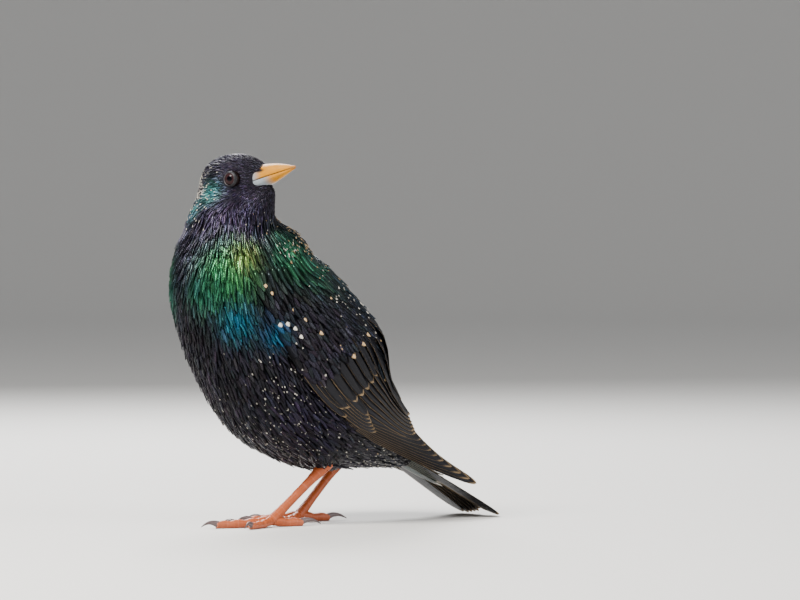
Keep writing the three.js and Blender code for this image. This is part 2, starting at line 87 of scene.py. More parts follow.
# Tubes that join the head to the body at the nape and the throat: x, y, z and radius
NAPE = [
    [-31.0, 4.6, 131.0, 9.2],
    [-31.2, 4.6, 125.0, 12.0],
    [-31.4, 3.0, 118.0, 15.4],
    [-31.2, 1.0, 110.0, 17.5],
]
THROAT = [
    [-26.5, -18.6, 129.7, 2.4],
    [-26.9, -16.6, 127.2, 4.4],
    [-27.8, -12.8, 123.6, 7.4],
    [-29.2, -8.6, 118.5, 11.0],
    [-30.6, -4.0, 111.5, 15.6],
]
# How deep the skin lies under the outline of the body, the head and neck, and the thighs
COAT_DEPTH = 1.5
HEAD_COAT = 0.7
THIGH_COAT = 0.6

# The head: its centre, its turn from +X towards +Y and its lift.
# A station is a forward place, the height of its centre, a half-width and a half-height.
HEAD_CENTRE = np.array([-31.0, -0.5, 130.0])
HEAD_TURN = math.radians(-76)
HEAD_LIFT = math.radians(12)
HEAD_STATIONS = [
    [-14.2, -0.6, 3.5, 3.8],
    [-11.6, -0.2, 7.0, 8.0],
    [-7.0, 0.3, 10.2, 11.2],
    [-1.0, 0.4, 11.8, 12.2],
    [5.0, 0.1, 10.8, 11.9],
    [9.5, -0.2, 8.0, 10.9],
    [13.5, -0.2, 5.1, 9.0],
    [16.8, 0.0, 3.5, 6.2],
    [18.9, 1.0, 1.9, 3.6],
]
EYE = {"forward": 7.0, "up": 1.3, "out": 8.0, "radius": 3.2}
GAZE_TURN = math.radians(18)  # how far each eye looks forward from straight out
# The lid is a ring whose section slants inwards: it stands out further at its inner edge
LID = {
    "ring": 2.72, "half_width": 0.42, "out": 9.75, "slant": 0.4, "half_thick": 0.22,
    "oval": 0.06, "lean": 0.10,
}

# The bill: forward place, half-width, height over the mouth line and depth under it
BILL_TIP = 32.2
GAPE = 9.2
MOUTH_LOW = -1.2
MOUTH_HIGH = 0.7
MOUTH_GAP = 0.3
BILL_STATIONS = [
    [8.0, 4.6, 4.6, 3.3],
    [12.0, 4.5, 5.2, 3.4],
    [16.0, 4.0, 5.4, 3.0],
    [20.0, 3.3, 4.6, 2.5],
    [24.0, 2.5, 3.5, 1.8],
    [28.0, 1.5, 2.0, 1.0],
    [30.6, 0.8, 0.9, 0.5],
    [31.9, 0.35, 0.4, 0.3],
]
BILL_ARCH = 0.85  # power of the sine that rounds each half of the bill
NOSTRIL = {"forward": 16.8, "up": 2.4, "long": 1.5, "tall": 0.5, "deep": 0.8}

# Legs: the foot's place, the ankle and the toes' headings from straight ahead, in degrees outwards
FOOT_LIFT = 2.5
LEGS = {
    "left": {"foot": [-19.5, -9.0], "ankle": [4.3, -10.2, 22.6], "toes": [-42, -14, 26, 172]},
    "right": {"foot": [5.8, 9.0], "ankle": [26.3, 10.2, 23.2], "toes": [-30, 4, 34, 186]},
}
TOE_NAMES = ["inner", "middle", "outer", "hind"]
TOE_LENGTHS = [15.0, 22.5, 16.0, 13.0]
TOE_RADII = [1.5, 1.65, 1.5, 1.7]
TOE_JOINTS = [2, 3, 3, 1]
CLAW_LENGTHS = [5.6, 7.0, 5.6, 9.0]
CLAW = {"overlap": 0.9, "root": 1.5, "arch": 1.1, "drop": 1.15, "thick": 0.72, "taper": 0.9, "squash": 1.15}
SHANK = {"top": 2.6, "waist": 1.65, "bottom": 2.2}
SHANK_PLATES = 11
SHANK_RINGS = 120
SHANK_SIDES = 32
TOE_SIDES = 24
CLAW_RINGS = 30
CLAW_SIDES = 16
SOLE = 0.02  # height of the flattened underside of the toes
PLATE_EDGE = np.array([0.52, 0.17, 0.10])
THIGH = {"sink": 13.0, "top": 9.0, "bottom": 2.9}

# Feather rows of a wing. Stations of the shell and angles up from the side line give the row's end feathers'
# roots and tips; step is how much each feather lies over the next one.
WING_ROWS = {
    "primary": dict(count=9, width=8.4, lift=0.5, step=0.26, pointed=3.4, rim=0.05, spot=0.98,
                    root=[[6.3, -6], [6.1, -12]], tip=[[9.25, 22], [10.9, 0]]),
    "secondary": dict(count=7, width=9.4, lift=2.5, step=0.30, pointed=6, rim=0.055, spot=0.975,
                      root=[[5.6, 26], [5.9, 0]], tip=[[8.75, 46], [9.1, 22]]),
    "tertial": dict(count=3, width=12.0, lift=6.0, step=0.5, pointed=5, rim=0.05, spot=0.97,
                    root=[[5.6, 52], [5.6, 36]], tip=[[7.95, 62], [8.7, 42]]),
    "primary_covert": dict(count=6, width=5.6, lift=2.6, step=0.26, pointed=4, rim=0.07, spot=0.97,
                           root=[[5.3, -2], [5.3, -12]], tip=[[7.1, -2], [7.6, -9]]),
    "greater_covert": dict(count=10, width=7.4, lift=4.2, step=0.18, pointed=5, rim=0.04, spot=0.955,
                           root=[[5.2, 50], [5.1, -6]], tip=[[6.95, 50], [6.6, -8]]),
    "alula": dict(count=3, width=5.0, lift=3.6, step=0.35, pointed=4, rim=0.07, spot=0.97,
                  root=[[4.9, -8], [4.9, -14]], tip=[[6.35, -9], [6.7, -14]]),
    "median_covert": dict(count=10, width=6.6, lift=4.2, step=0.14, pointed=4, rim=0.0, spot=0.96,
                          root=[[4.6, 50], [4.5, -8]], tip=[[5.95, 50], [5.8, -9]]),
}
ARM = {"first": 3.9, "last": 6.7, "low": -14, "high": 52, "swell": 2.6, "sink": 3.0}
QUILL_SINK = 2.2  # how much deeper the vanes' roots lie than their tips
WING_TILT = 0.10  # slope of a vane's section, so that it lies over the next one
COVER_LIFT = 4.0  # how high the small coverts and shoulder feathers lie over the shell where the wing is full

TAIL_ROOT = np.array([42.0, 0.0, 28.6])
TAIL_TIP = np.array([89.5, 0.0, 1.15])
TAIL = {
    "pairs": 6, "width": 8.6, "step": 0.34, "spread_root": 0.7, "spread_tip": 2.05,
    "shorter": 1.1, "notch": 2.4,
}


def smoothstep(low, high, x):
    """0 under low, 1 over high, and the cubic 3s^2 - 2s^3 between them."""
    s = np.clip((np.asarray(x, float) - low) / (high - low), 0, 1)
    return s * s * (3 - 2 * s)


def unit(v):
    """Each vector over its own length."""
    return v / np.maximum(np.linalg.norm(v, axis=-1, keepdims=True), 1e-9)


def mix(a, b, share):
    """a at share 0 and b at share 1, in a straight line."""
    return a + (b - a) * share


def rows_curve(rows, t):
    """The Hermite curve through rows, whose slope at a row is half of the step between its neighbours."""
    rows = np.asarray(rows, float)
    last = len(rows) - 1
    t = np.clip(np.asarray(t, float), 0, last)
    i = np.minimum(np.floor(t).astype(int), last - 1)
    s = (t - i)[..., None]
    a, b, c, d = (rows[np.clip(i + k, 0, last)] for k in (-1, 0, 1, 2))
    s2, s3 = s * s, s * s * s
    slopes = (s3 - 2 * s2 + s) * (c - a) / 2 + (s3 - s2) * (d - b) / 2
    return (2 * s3 - 3 * s2 + 1) * b + (3 * s2 - 2 * s3) * c + slopes


def around(stations, t, angle, height=0.0, side=LEFT):
    """The surface round a curved axis: centre + side (width + h) cos(angle) Y + (depth + h) sin(angle) up."""
    t, angle, height = np.broadcast_arrays(*(np.asarray(v, float) for v in (t, angle, height)))
    x, z, width, depth = np.moveaxis(rows_curve(stations, t), -1, 0)
    way = rows_curve(stations, t + EPS)[..., :2] - rows_curve(stations, t - EPS)[..., :2]
    way = unit(way)
    up_x, up_z = -way[..., 1], way[..., 0]
    reach = (depth + height) * np.sin(angle)
    return np.stack([x + up_x * reach, side * (width + height) * np.cos(angle), z + up_z * reach], -1)


HEAD_FORWARD = np.array([
    math.cos(HEAD_TURN) * math.cos(HEAD_LIFT),
    math.sin(HEAD_TURN) * math.cos(HEAD_LIFT),
    math.sin(HEAD_LIFT),
])
HEAD_LEFT = unit(np.cross([0.0, 0.0, 1.0], HEAD_FORWARD))
HEAD_UP = np.cross(HEAD_FORWARD, HEAD_LEFT)
HEAD_AXES = np.stack([HEAD_FORWARD, HEAD_LEFT, HEAD_UP])


def head_place(forward, left, up):
    """The point that lies forward along the bill, to the head's left and up from its centre."""
    f, l, u = np.broadcast_arrays(*(np.asarray(v, float) for v in (forward, left, up)))
    return HEAD_CENTRE + np.stack([f, l, u], -1) @ HEAD_AXES


def head_coords(p):
    """Forward, left and up of points, from the head's centre."""
    return (p - HEAD_CENTRE) @ HEAD_AXES.T


def head_surface(t, angle, height=0.0):
    """The head round its own axis: width cos(angle) to the left and height sin(angle) up at each station."""
    t, angle, height = np.broadcast_arrays(*(np.asarray(v, float) for v in (t, angle, height)))
    forward, up, wide, tall = np.moveaxis(rows_curve(HEAD_STATIONS, t), -1, 0)
    return head_place(forward, (wide + height) * np.cos(angle), up + (tall + height) * np.sin(angle))


# The CAD frame's origin is under the middle of the whole bird, so millimetre places are moved to it
NUDGE = np.array(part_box("eye_left")[0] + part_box("eye_left")[1]) / 2 / MM - head_place(
    EYE["forward"], EYE["out"], EYE["up"])


def make_mesh(name, points, faces, uvs=None, attributes=None):
    """An object at the origin from points in millimetres, lists of faces, maps and attributes per point."""
    mesh = bpy.data.meshes.new(name)
    sizes = np.concatenate([np.full(len(f), f.shape[1]) for f in faces])
    corners = np.concatenate([f.ravel() for f in faces])
    mesh.vertices.add(len(points))
    mesh.vertices.foreach_set("co", ((points + NUDGE) * MM).astype(np.float32).ravel())
    mesh.loops.add(len(corners))
    mesh.loops.foreach_set("vertex_index", corners.astype(np.int32))
    mesh.polygons.add(len(sizes))
    mesh.polygons.foreach_set("loop_start", np.concatenate([[0], np.cumsum(sizes)[:-1]]).astype(np.int32))
    mesh.polygons.foreach_set("loop_total", sizes.astype(np.int32))
    mesh.polygons.foreach_set("use_smooth", np.ones(len(sizes), bool))
    mesh.update(calc_edges=True)
    for key, uv in (uvs or {}).items():
        layer = mesh.uv_layers.new(name=key)
        layer.data.foreach_set("uv", uv[corners].astype(np.float32).ravel())
    for key, value in (attributes or {}).items():
        add_attribute(mesh, key, value)
    mesh.validate()
    piece = bpy.data.objects.new(name, mesh)
    bpy.context.scene.collection.objects.link(piece)
    return piece


def add_attribute(mesh, key, value):
    """A colour or a number at each point of a mesh."""
    if value.ndim == 2:
        rgba = np.concatenate([value, np.ones((len(value), 1))], 1)
        layer = mesh.attributes.new(key, "FLOAT_COLOR", "POINT")
        layer.data.foreach_set("color", rgba.astype(np.float32).ravel())
    else:
        layer = mesh.attributes.new(key, "FLOAT", "POINT")
        layer.data.foreach_set("value", value.astype(np.float32))


def ring_faces(shape):
    """Quads between the rings of tubes, and one face over each end. shape is tubes, rings, sides."""
    n, r, c = shape
    index = np.arange(n * r * c).reshape(n, r, c)
    nxt = np.roll(index, -1, axis=2)
    quads = np.stack([index[:, :-1], nxt[:, :-1], nxt[:, 1:], index[:, 1:]], -1).reshape(-1, 4)
    first = index[:, 0, ::-1].reshape(n, c)
    last = index[:, -1].reshape(n, c)
    return [quads, first, last]


def outward(points, faces):
    """The faces turned so that the volume that they enclose is above zero."""
    quads = faces[0]
    a, b, c, d = (points[quads[:, k]] for k in range(4))
    volume = np.einsum("ij,ij->i", a, np.cross(b, c) + np.cross(c, d)).sum()
    return faces if volume > 0 else [f[:, ::-1] for f in faces]


def tubes_piece(name, rings, uvs=None, attributes=None):
    """A piece from an array of closed tubes: tubes, rings, sides, xyz."""
    points = rings.reshape(-1, 3)
    return make_mesh(name, points, outward(points, ring_faces(rings.shape[:3])), uvs, attributes)


def tube(path, radii, sides, squash=1.0):
    """Rings round each point of a path, squash times as tall as they are wide. radii holds one radius for
    each ring, or one for each point of each ring."""
    ahead = unit(np.gradient(path, axis=0))
    level = np.where(np.abs(ahead[:, 2:]) > 0.9, [[0.0, 1.0, 0.0]], [[0.0, 0.0, 1.0]])
    across = unit(np.cross(ahead, level))
    up = np.cross(across, ahead)
    angle = np.arange(sides) / sides * 2 * math.pi
    ring = across[:, None] * np.cos(angle)[:, None] + up[:, None] * np.sin(angle)[:, None] * squash
    radii = np.asarray(radii)
    if radii.ndim == 1:
        radii = radii[:, None]
    return path[:, None] + ring * radii[..., None]


# Plumage colours, linear. A gloss spot is a soft ball of colour round a place of the body or the head. It is
# partly the plumage's own purple, green and blue gloss and partly painted sheen: the brightest balls are
# highlights painted as colour.
BODY_INK = np.array([0.014, 0.013, 0.018])
BUFF = np.array([0.50, 0.34, 0.18])
PALE = np.array([0.70, 0.66, 0.58])
# An entry is kind, place, radius, colour and strength. The place of "body" is a station and an angle,
# of "head" forward, left and up, and of "spot" x, y and z.
GLOSS_AND_PAINTED_SHEEN = [
    ("body", 0.7, -60, 13, [0.045, 0.036, 0.060], 0.8),
    ("body", 1.8, -30, 13, [0.040, 0.030, 0.062], 0.8),
    ("body", 2.7, -75, 12, [0.040, 0.034, 0.060], 0.7),
    # Painted sheen: the bright green, yellow-green and turquoise balls of the breast below are highlights
    # painted as colour, on both sides.
    ("body", 3.2, -38, 9.5, [0.050, 0.270, 0.100], 0.9),
    ("body", 2.8, -22, 5.5, [0.230, 0.320, 0.080], 0.7),
    ("body", 3.5, -60, 7.5, [0.025, 0.150, 0.100], 0.7),
    ("body", 4.1, -40, 6.5, [0.012, 0.130, 0.190], 0.8),
    ("body", 4.6, -20, 4.5, [0.012, 0.110, 0.200], 0.8),
    ("body", 6.2, -30, 14, [0.020, 0.015, 0.034], 0.5),
    ("body", 3.2, 22, 8, [0.045, 0.200, 0.110], 0.9),
    ("body", 4.0, 42, 9, [0.030, 0.120, 0.075], 0.8),
    ("body", 2.6, 75, 10, [0.016, 0.030, 0.045], 0.7),
    ("body", 4.9, 85, 16, [0.014, 0.040, 0.050], 0.9),
    ("body", 6.8, 80, 22, [0.014, 0.028, 0.048], 0.8),
    ("body", 8.6, 80, 12, [0.014, 0.032, 0.045], 0.7),
    ("head", -2.0, 0.0, 12.0, 11.0, [0.026, 0.024, 0.046], 0.8),
    ("head", 5.0, 9.0, -6.0, 6.0, [0.028, 0.022, 0.042], 0.8),
    # Painted sheen: these bright teal and lilac balls of the neck are highlights painted as colour, at these
    # places only and not mirrored.
    ("spot", -43.5, -2.0, 127.5, 4.2, [0.060, 0.270, 0.260], 0.8),
    ("spot", -46.5, 4.0, 121.0, 4.0, [0.090, 0.260, 0.280], 0.8),
    ("spot", -46.1, 10.6, 114.6, 4.2, [0.420, 0.380, 0.520], 0.9),
]


def gloss_place(entry):
    """Where a gloss spot or a spotted zone lies, and the rest of its entry."""
    if entry[0] == "body":
        return around(BODY_STATIONS, entry[1], math.radians(entry[2])), entry[3:]
    return np.array(entry[1:4], float), entry[4:]


def zone_weights(p, entry):
    """exp(-d^2) of the distance to a spot's place over its radius, on both sides unless the kind is spot."""
    place, rest = gloss_place(entry)
    q = head_coords(p) if entry[0] == "head" else p
    if entry[0] != "spot":
        q = np.stack([q[:, 0], np.abs(q[:, 1]), q[:, 2]], 1)
        place = np.array([place[0], abs(place[1]), place[2]])
    near = np.exp(-np.sum((q - place) ** 2, 1) / rest[0] ** 2)
    if entry[0] == "head":
        near = near * smoothstep(112, 120, p[:, 2])
    return near, rest[1:]


def plumage_tint(p):
    """The coat's colour at places: ink, then each gloss spot, with its painted sheen, mixed in by its weight.
    """
    colour = np.tile(BODY_INK, (len(p), 1))
    for entry in GLOSS_AND_PAINTED_SHEEN:
        near, (tone, strength) = zone_weights(p, entry)
        colour = mix(colour, np.array(tone), (near * strength)[:, None])
    return colour


# Zones where feathers end in pale tips: kind, place, radius, chance, share of the vane that is dark, and the
# tip's colour
SPOTTED = [
    ("body", 3.0, 75, 14, 0.75, 0.87, BUFF),
    ("body", 5.0, 80, 18, 0.55, 0.90, PALE * 0.8),
    ("body", 7.5, 80, 20, 0.45, 0.91, BUFF * 0.8),
    ("body", 2.6, 20, 7, 0.35, 0.88, PALE),
    ("body", 6.2, -45, 19, 0.55, 0.925, PALE * 0.6),
    ("body", 5.4, -30, 8, 0.40, 0.90, PALE * 0.9),
    ("body", 8.6, -70, 14, 0.75, 0.90, PALE * 0.6),
    ("head", -9.0, 7.0, 1.0, 6.0, 0.6, 0.80, PALE),
    ("spot", -44.0, 2.0, 121.0, 6.0, 0.35, 0.82, PALE),
]
# Single feathers with large pale tips, by station and degrees of the shell: buff on the coverts, white below
DROPS = [
    (BUFF * 1.2, [(3.7, -11), (3.9, -8), (4.35, -2), (4.63, 1), (5.03, 4),
                  (5.49, 10), (5.87, 12), (5.95, 24), (5.9, 36)]),
    (PALE * 1.1, [(4.47, -13), (4.57, -10), (4.73, -7), (4.85, -5)]),
    (PALE * 1.2, [(4.67, -31), (4.79, -21), (4.87, -28), (5.01, -25), (5.25, -23), (5.33, -26)]),
]
DROP_REACH = 2.8  # a drop takes the nearest feather tip, if one lies within this many millimetres
DROP_START = 0.76  # the share of a feather where its drop starts
NO_TIP = 1.3  # a start beyond the feather's end, so that it has no pale tip
TIP_LIFT = 1.6  # raises the chance of pale tips, so that it is full over more of a zone
# Marks of the tail feathers, and sizes and marks of the coverts over them and under them
TAIL_MARKS = {"rim": 0.10, "spot": 0.97, "tone": BUFF * 0.55}
COVERT_TINT = (0.014, 0.030, 0.028)
TAIL_COVERTS = [
    {"count": 11, "width": 6.4, "longest": 21.0, "height": 3.0, "spread": 1.7, "rim": 0.06, "spot": 0.92,
     "tone": BUFF * 0.8, "tint": COVERT_TINT},
    {"count": 11, "width": 6.4, "longest": 28.0, "height": -3.3, "spread": 1.7, "rim": 0.13, "spot": 0.86,
     "tone": PALE * 0.8, "tint": COVERT_TINT},
]


def tip_marks(p, rng):
    """The share of each feather where its pale tip starts, over 1 for none, and the tip's colour."""
    start = np.full(len(p), NO_TIP)
    colour = np.tile(PALE, (len(p), 1))
    for entry in SPOTTED:
        near, (chance, share, tone) = zone_weights(p, entry)
        hit = rng.random(len(p)) < chance * np.minimum(near * TIP_LIFT, 1)
        start[hit] = share + rng.normal(0, 0.02, hit.sum())
        colour[hit] = tone
    colour = colour * rng.uniform(0.6, 1.1, (len(p), 1))
    for tone, places in DROPS:
        places = np.array(places)
        for side in SIDES.values():
            spot = around(SHELL_STATIONS, places[:, 0], np.radians(places[:, 1]), COVER_LIFT * 0.5, side)
            far = np.linalg.norm(p[:, None] - spot, axis=2)
            first = np.unique(far.argmin(0)[far.min(0) < DROP_REACH])
            start[first] = DROP_START
            colour[first] = tone
    return start, colour


# Feathers: a section's points across and through the vane, and the shares of its length where rings stand
SMALL_STOPS = np.array([0, 0.28, 0.55, 0.78, 0.93, 1.0])
LARGE_STOPS = np.array([0, 0.08, 0.2, 0.35, 0.5, 0.65, 0.78, 0.88, 0.94, 0.975, 0.993, 1.0])
LARGE_THICK = 0.17
SMALL_THICK = {"most": 0.16, "of_width": 0.09}
SMALL_CAMBER = 0.22
SINK = {"most": 0.25, "of_length": 0.07}  # how far a small feather's root lies under the skin
SMALL_SECTION = np.array([[-1.0, 0.0], [0.0, 1.0], [1.0, 0.0], [0.0, -0.6]])
LARGE_SECTION = np.array([[-1.0, 0.0], [-0.6, 0.7], [-0.07, 0.8], [0.0, 1.7], [0.07, 0.8], [0.6, 0.7],
                          [1.0, 0.0], [0.6, -0.6], [0.0, -0.9], [-0.6, -0.6]])


def vane_half_width(s, pointed):
    """min(1, 0.4 + 2 s) (1 - s^pointed)^0.55: narrow at the quill, full, then rounded or drawn to the tip."""
    return np.minimum(1, 0.4 + 2 * s) * np.power(np.maximum(1 - np.power(s, pointed), 0), 0.55) + 0.02


def vane_rings(path, across, out, half, thick, section, tilt, camber):
    """Rings of a vane. For each point (a, b) of the section a ring point is
    path + a half across + (b thick + a tilt half - camber a^2 half) out."""
    a, b = section[:, 0], section[:, 1]
    wide = a * half[..., None]
    rise = b * np.asarray(thick)[..., None] + wide * tilt - camber * a * a * half[..., None]
    return path[..., None, :] + across[..., None, :] * wide[..., None] + out[..., None, :] * rise[..., None]


def per_point(values, shape):
    """One value or row for each feather, repeated for all of its points."""
    return np.repeat(values, shape[1] * shape[2], axis=0)


def vane_maps(shape, s, section, places):
    """The vane's own map, across and along from 0 to 1, and its patch on the bake map at its root's place."""
    n, r, c = shape
    own = np.stack(np.broadcast_arrays((section[:, 0] + 1) / 2, np.asarray(s)[:, None]), -1)
    own = np.broadcast_to(own, (n, r, c, 2)).reshape(-1, 2)
    bake = per_point(places, shape) + (own - 0.5) * PATCH
    return {"Vane": own, "OFBake": bake}


# The areas of the bake map: low corner and high corner, each an unwrap of one part of the skin
BODY_PATCHES = ((0.02, 0.02), (0.58, 0.98))
HEAD_PATCHES = ((0.62, 0.02), (0.98, 0.32))
THIGH_PATCHES = ((0.62, 0.36), (0.98, 0.48))
COVER_PATCHES = ((0.62, 0.52), (0.98, 0.98))
LAST_STATION = len(BODY_STATIONS) - 1


def bake_place(area, across, along):
    """Places on the bake map: shares of an area across and along it."""
    low, high = np.array(area)
    return low + (high - low) * np.clip(np.stack([across, along], 1), 0, 1)


def coat_piece(name, coat, material, rng):
    """Many small feathers: each rises from its root along its lie, and bends down to follow the skin.
    height(s) = length s sin(rise) + bend s^2 - sink (1 - s)^2."""
    roots, normals, lies = (coat[key] for key in ("root", "normal", "lie"))
    length, width, rise, pointed, bend = (coat[key] for key in ("length", "width", "rise", "pointed", "bend"))
    across = unit(np.cross(normals, lies))
    s = SMALL_STOPS[None, :]
    run = length[:, None] * s
    sink = np.minimum(SINK["most"], SINK["of_length"] * length)[:, None] * (1 - s) ** 2
    height = run * np.sin(rise)[:, None] + bend[:, None] * s * s - sink
    sway = coat["sway"][:, None] * s * s * length[:, None]
    path = (roots[:, None] + lies[:, None] * (run * np.cos(rise)[:, None])[..., None]
            + normals[:, None] * height[..., None] + across[:, None] * sway[..., None])
    ahead = unit(np.gradient(path, axis=1))
    side = unit(across[:, None] - np.sum(across[:, None] * ahead, -1, keepdims=True) * ahead)
    out = np.cross(ahead, side)
    half = width[:, None] / 2 * vane_half_width(s, pointed[:, None])
    thick = np.minimum(SMALL_THICK["most"], width * SMALL_THICK["of_width"])[:, None]
    thick = np.broadcast_to(thick, half.shape)
    rings = vane_rings(path, side, out, half, thick, SMALL_SECTION, 0, SMALL_CAMBER)
    shape = rings.shape[:3]
    # The tint holds the gloss colours, with the painted sheen of the brightest gloss spots.
    tint = plumage_tint(roots + lies * length[:, None] * 0.6)
    tint = tint * rng.lognormal(-0.1, 0.45, (len(roots), 1))
    tint = tint * rng.uniform(0.85, 1.15, (len(roots), 3))
    start, pale = tip_marks(roots + lies * length[:, None] * 0.8, rng)
    piece = tubes_piece(name, rings, vane_maps(shape, SMALL_STOPS, SMALL_SECTION, coat["place"]), {
        "Tint": per_point(tint, shape),
        "Tip": per_point(pale, shape),
        "Spot": per_point(start, shape),
        "Rim": per_point(np.zeros(len(roots)), shape),
    })
    return finish_piece(piece, material, "plumage")


def finish_piece(piece, material, slot, *nodes):
    """Gives a piece its material and its body, and hides the CAD nodes that it stands for. The slot is not
    used.
    """
    piece.data.materials.append(material)
    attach(piece, "root")
    if nodes:
        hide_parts(*nodes)
    return piece


def scatter(surface, t_range, angle_range, spacing, rows=160, columns=240):
    """Roots spread evenly over a surface: a golden-ratio lattice, bent so that its density is 1 over the
    spacing squared. The share of the density below a station gives t, and the share along its ring gives
    the angle."""
    t_edge = np.linspace(*t_range, rows + 1)
    a_edge = np.linspace(*angle_range, columns + 1)
    t, a = np.meshgrid((t_edge[1:] + t_edge[:-1]) / 2, (a_edge[1:] + a_edge[:-1]) / 2, indexing="ij")
    p = surface(t, a)
    along = (surface(t + EPS, a) - p) / EPS * (t_edge[1] - t_edge[0])
    round_ = (surface(t, a + EPS) - p) / EPS * (a_edge[1] - a_edge[0])
    area = np.linalg.norm(np.cross(along, round_), axis=-1)
    density = area / spacing(t, a) ** 2
    by_row = np.concatenate([[0], np.cumsum(density.sum(1))])
    count = int(by_row[-1])
    k = np.arange(count)
    t_found = np.interp((k + 0.5) / count * by_row[-1], by_row, t_edge)
    row = np.clip(np.searchsorted(t_edge, t_found) - 1, 0, rows - 1)
    by_column = np.concatenate([np.zeros((rows, 1)), np.cumsum(density, 1)], 1)
    by_column /= by_column[:, -1:]
    share = (k * GOLDEN) % 1
    found = np.clip((by_column[row] < share[:, None]).sum(1) - 1, 0, columns - 1)
    low, high = by_column[row, found], by_column[row, found + 1]
    a_found = a_edge[found] + (share - low) / np.maximum(high - low, 1e-9) * (a_edge[1] - a_edge[0])
    return t_found, a_found


def skin_tree():
    """The finished skin, for the nearest place on it to a point."""
    return BVHTree.FromObject(bpy.data.objects["skin"], bpy.context.evaluated_depsgraph_get())


def settle(points, tree, reach):
    """Each point's nearest place on the skin, the normal there, and whether it lies within reach."""
    found = [tree.find_nearest(p) for p in (points + NUDGE) * MM]
    place = np.array([f[0] for f in found]) / MM - NUDGE
    normal = np.array([f[1] for f in found])
    near = np.array([f[3] for f in found]) / MM < reach
    return place, unit(normal), near


def coat_table(t, angle, ventral, dorsal):
    """A size at each station, from a row for the breast and belly and a row for the back."""
    low = np.interp(t, np.arange(len(ventral)), ventral)
    high = np.interp(t, np.arange(len(dorsal)), dorsal)
    return mix(low, high, smoothstep(-0.15, 0.6, np.sin(angle)))


# Sizes of the body's feathers at each station, first on the breast and belly, then on the back
COAT_LENGTH = ([5.0, 6.8, 8.2, 8.8, 9.0, 9.2, 9.4, 9.4, 9.2, 8.0, 6.0],
               [3.8, 5.0, 7.0, 9.0, 10.5, 11.0, 11.0, 10.5, 10.0, 9.0, 8.0])
COAT_WIDTH = ([1.1, 1.25, 1.45, 1.7, 2.0, 2.4, 2.8, 3.0, 3.0, 2.8, 2.5],
              [1.2, 1.7, 2.6, 3.4, 4.2, 4.6, 4.8, 4.6, 4.2, 3.6, 3.0])
COAT_SPACING = ([0.85, 0.95, 1.05, 1.2, 1.35, 1.5, 1.65, 1.75, 1.7, 1.6, 1.6],
                [0.9, 1.15, 1.6, 2.0, 2.3, 2.5, 2.5, 2.4, 2.2, 2.0, 1.7])


# The patch that a folded wing covers, by station and degrees; its low edge climbs behind the station bend
UNDER_WING = {"first": 4.1, "last": 8.2, "low": -6, "high": 46, "bend": 5, "climb": 6, "thinner": 3.0}


def under_wing(t, angle):
    """True well inside the patch that a folded wing and its coverts cover."""
    deg = np.degrees(angle)
    past = (t - UNDER_WING["bend"]) * (t > UNDER_WING["bend"])
    low = UNDER_WING["low"] + UNDER_WING["climb"] * past
    return (t > UNDER_WING["first"]) & (t < UNDER_WING["last"]) & (deg > low) & (deg < UNDER_WING["high"])


BODY_COAT_ENDS = (1.7, 9.9)  # the stations between which the body's feathers grow
ROOT_REACH = 0.9  # a body feather grows only where the skin lies this near to its place


def body_coat_roots(side):
    """Stations and angles of one side's body feathers, and the surface that they are places of."""
    def surface(t, a):
        return around(BODY_STATIONS, t, a, -COAT_DEPTH, side)

    def spacing(t, a):
        return coat_table(t, a, *COAT_SPACING) * np.where(under_wing(t, a), UNDER_WING["thinner"], 1.0)

    t, a = scatter(surface, BODY_COAT_ENDS, (-math.pi / 2, math.pi / 2), spacing)
    return t, a, surface


def join_coats(parts):
    """Puts lists of arrays end to end."""
    return {key: np.concatenate([part[key] for part in parts]) for key in parts[0]}


def lie_on(normal, way):
    """The part of a direction that lies in the skin."""
    return unit(way - np.sum(way * normal, -1, keepdims=True) * normal)


def bend_to_skin(root, normal, lie, length, tree):
    """How far the skin falls away under each feather's tip, in millimetres, from a point at its length."""
    tip, _, _ = settle(root + lie * length[:, None], tree, 99)
    return np.sum((tip - root) * normal, -1)


def body_feathers(rng, tree):
    """Both sides' body feathers with their sizes and bake places."""
    parts = []
    for side in SIDES.values():
        t, a, surface = body_coat_roots(side)
        ideal = surface(t, a)
        root, normal, near = settle(ideal, tree, ROOT_REACH)
        way = unit(surface(t + AHEAD, a) - ideal)
        t, a, root, normal, way = (value[near] for value in (t, a, root, normal, way))
        n = len(t)
        lie = lie_on(normal, way + rng.normal(0, 0.10, (n, 3)))
        length = coat_table(t, a, *COAT_LENGTH) * rng.uniform(0.85, 1.15, n)
        width = coat_table(t, a, *COAT_WIDTH) * rng.uniform(0.9, 1.1, n)
        shaggy = smoothstep(3.6, 1.2, t) * smoothstep(0.1, -0.5, np.sin(a))
        turn = (a * side / math.pi + 0.5 * (1 + side) + 0.5) / 2
        parts.append({
            "root": root, "normal": normal, "lie": lie, "length": length, "width": width,
            "rise": np.radians(5 + 6 * shaggy + rng.normal(0, 1.5, n)),
            "pointed": mix(3.2, 1.5, smoothstep(4.5, 2.0, t) * smoothstep(0.3, -0.2, np.sin(a))),
            "bend": bend_to_skin(root, normal, lie, length, tree) + 0.1,
            "sway": rng.normal(0, 0.05, n),
            "place": bake_place(BODY_PATCHES, turn, t / LAST_STATION),
            "t": t, "sin": np.sin(a),
        })
    return join_coats(parts)


# Sizes on the face, on the crown and on the neck, and on the throat for the length alone
HEAD_SPACING = (0.66, 0.86, 1.15)
HEAD_LENGTH = (1.4, 4.0, 6.0, 8.0)
HEAD_WIDTH = (0.7, 1.15, 1.5)
BARE_RING = 2.7  # no feathers within this far of the eye's middle
NECK_LOW = 110.0  # the head's own feathers reach down to here, over the body's first ones
NECK_TALL = 40.0  # height over NECK_LOW that the head's area of the bake map covers
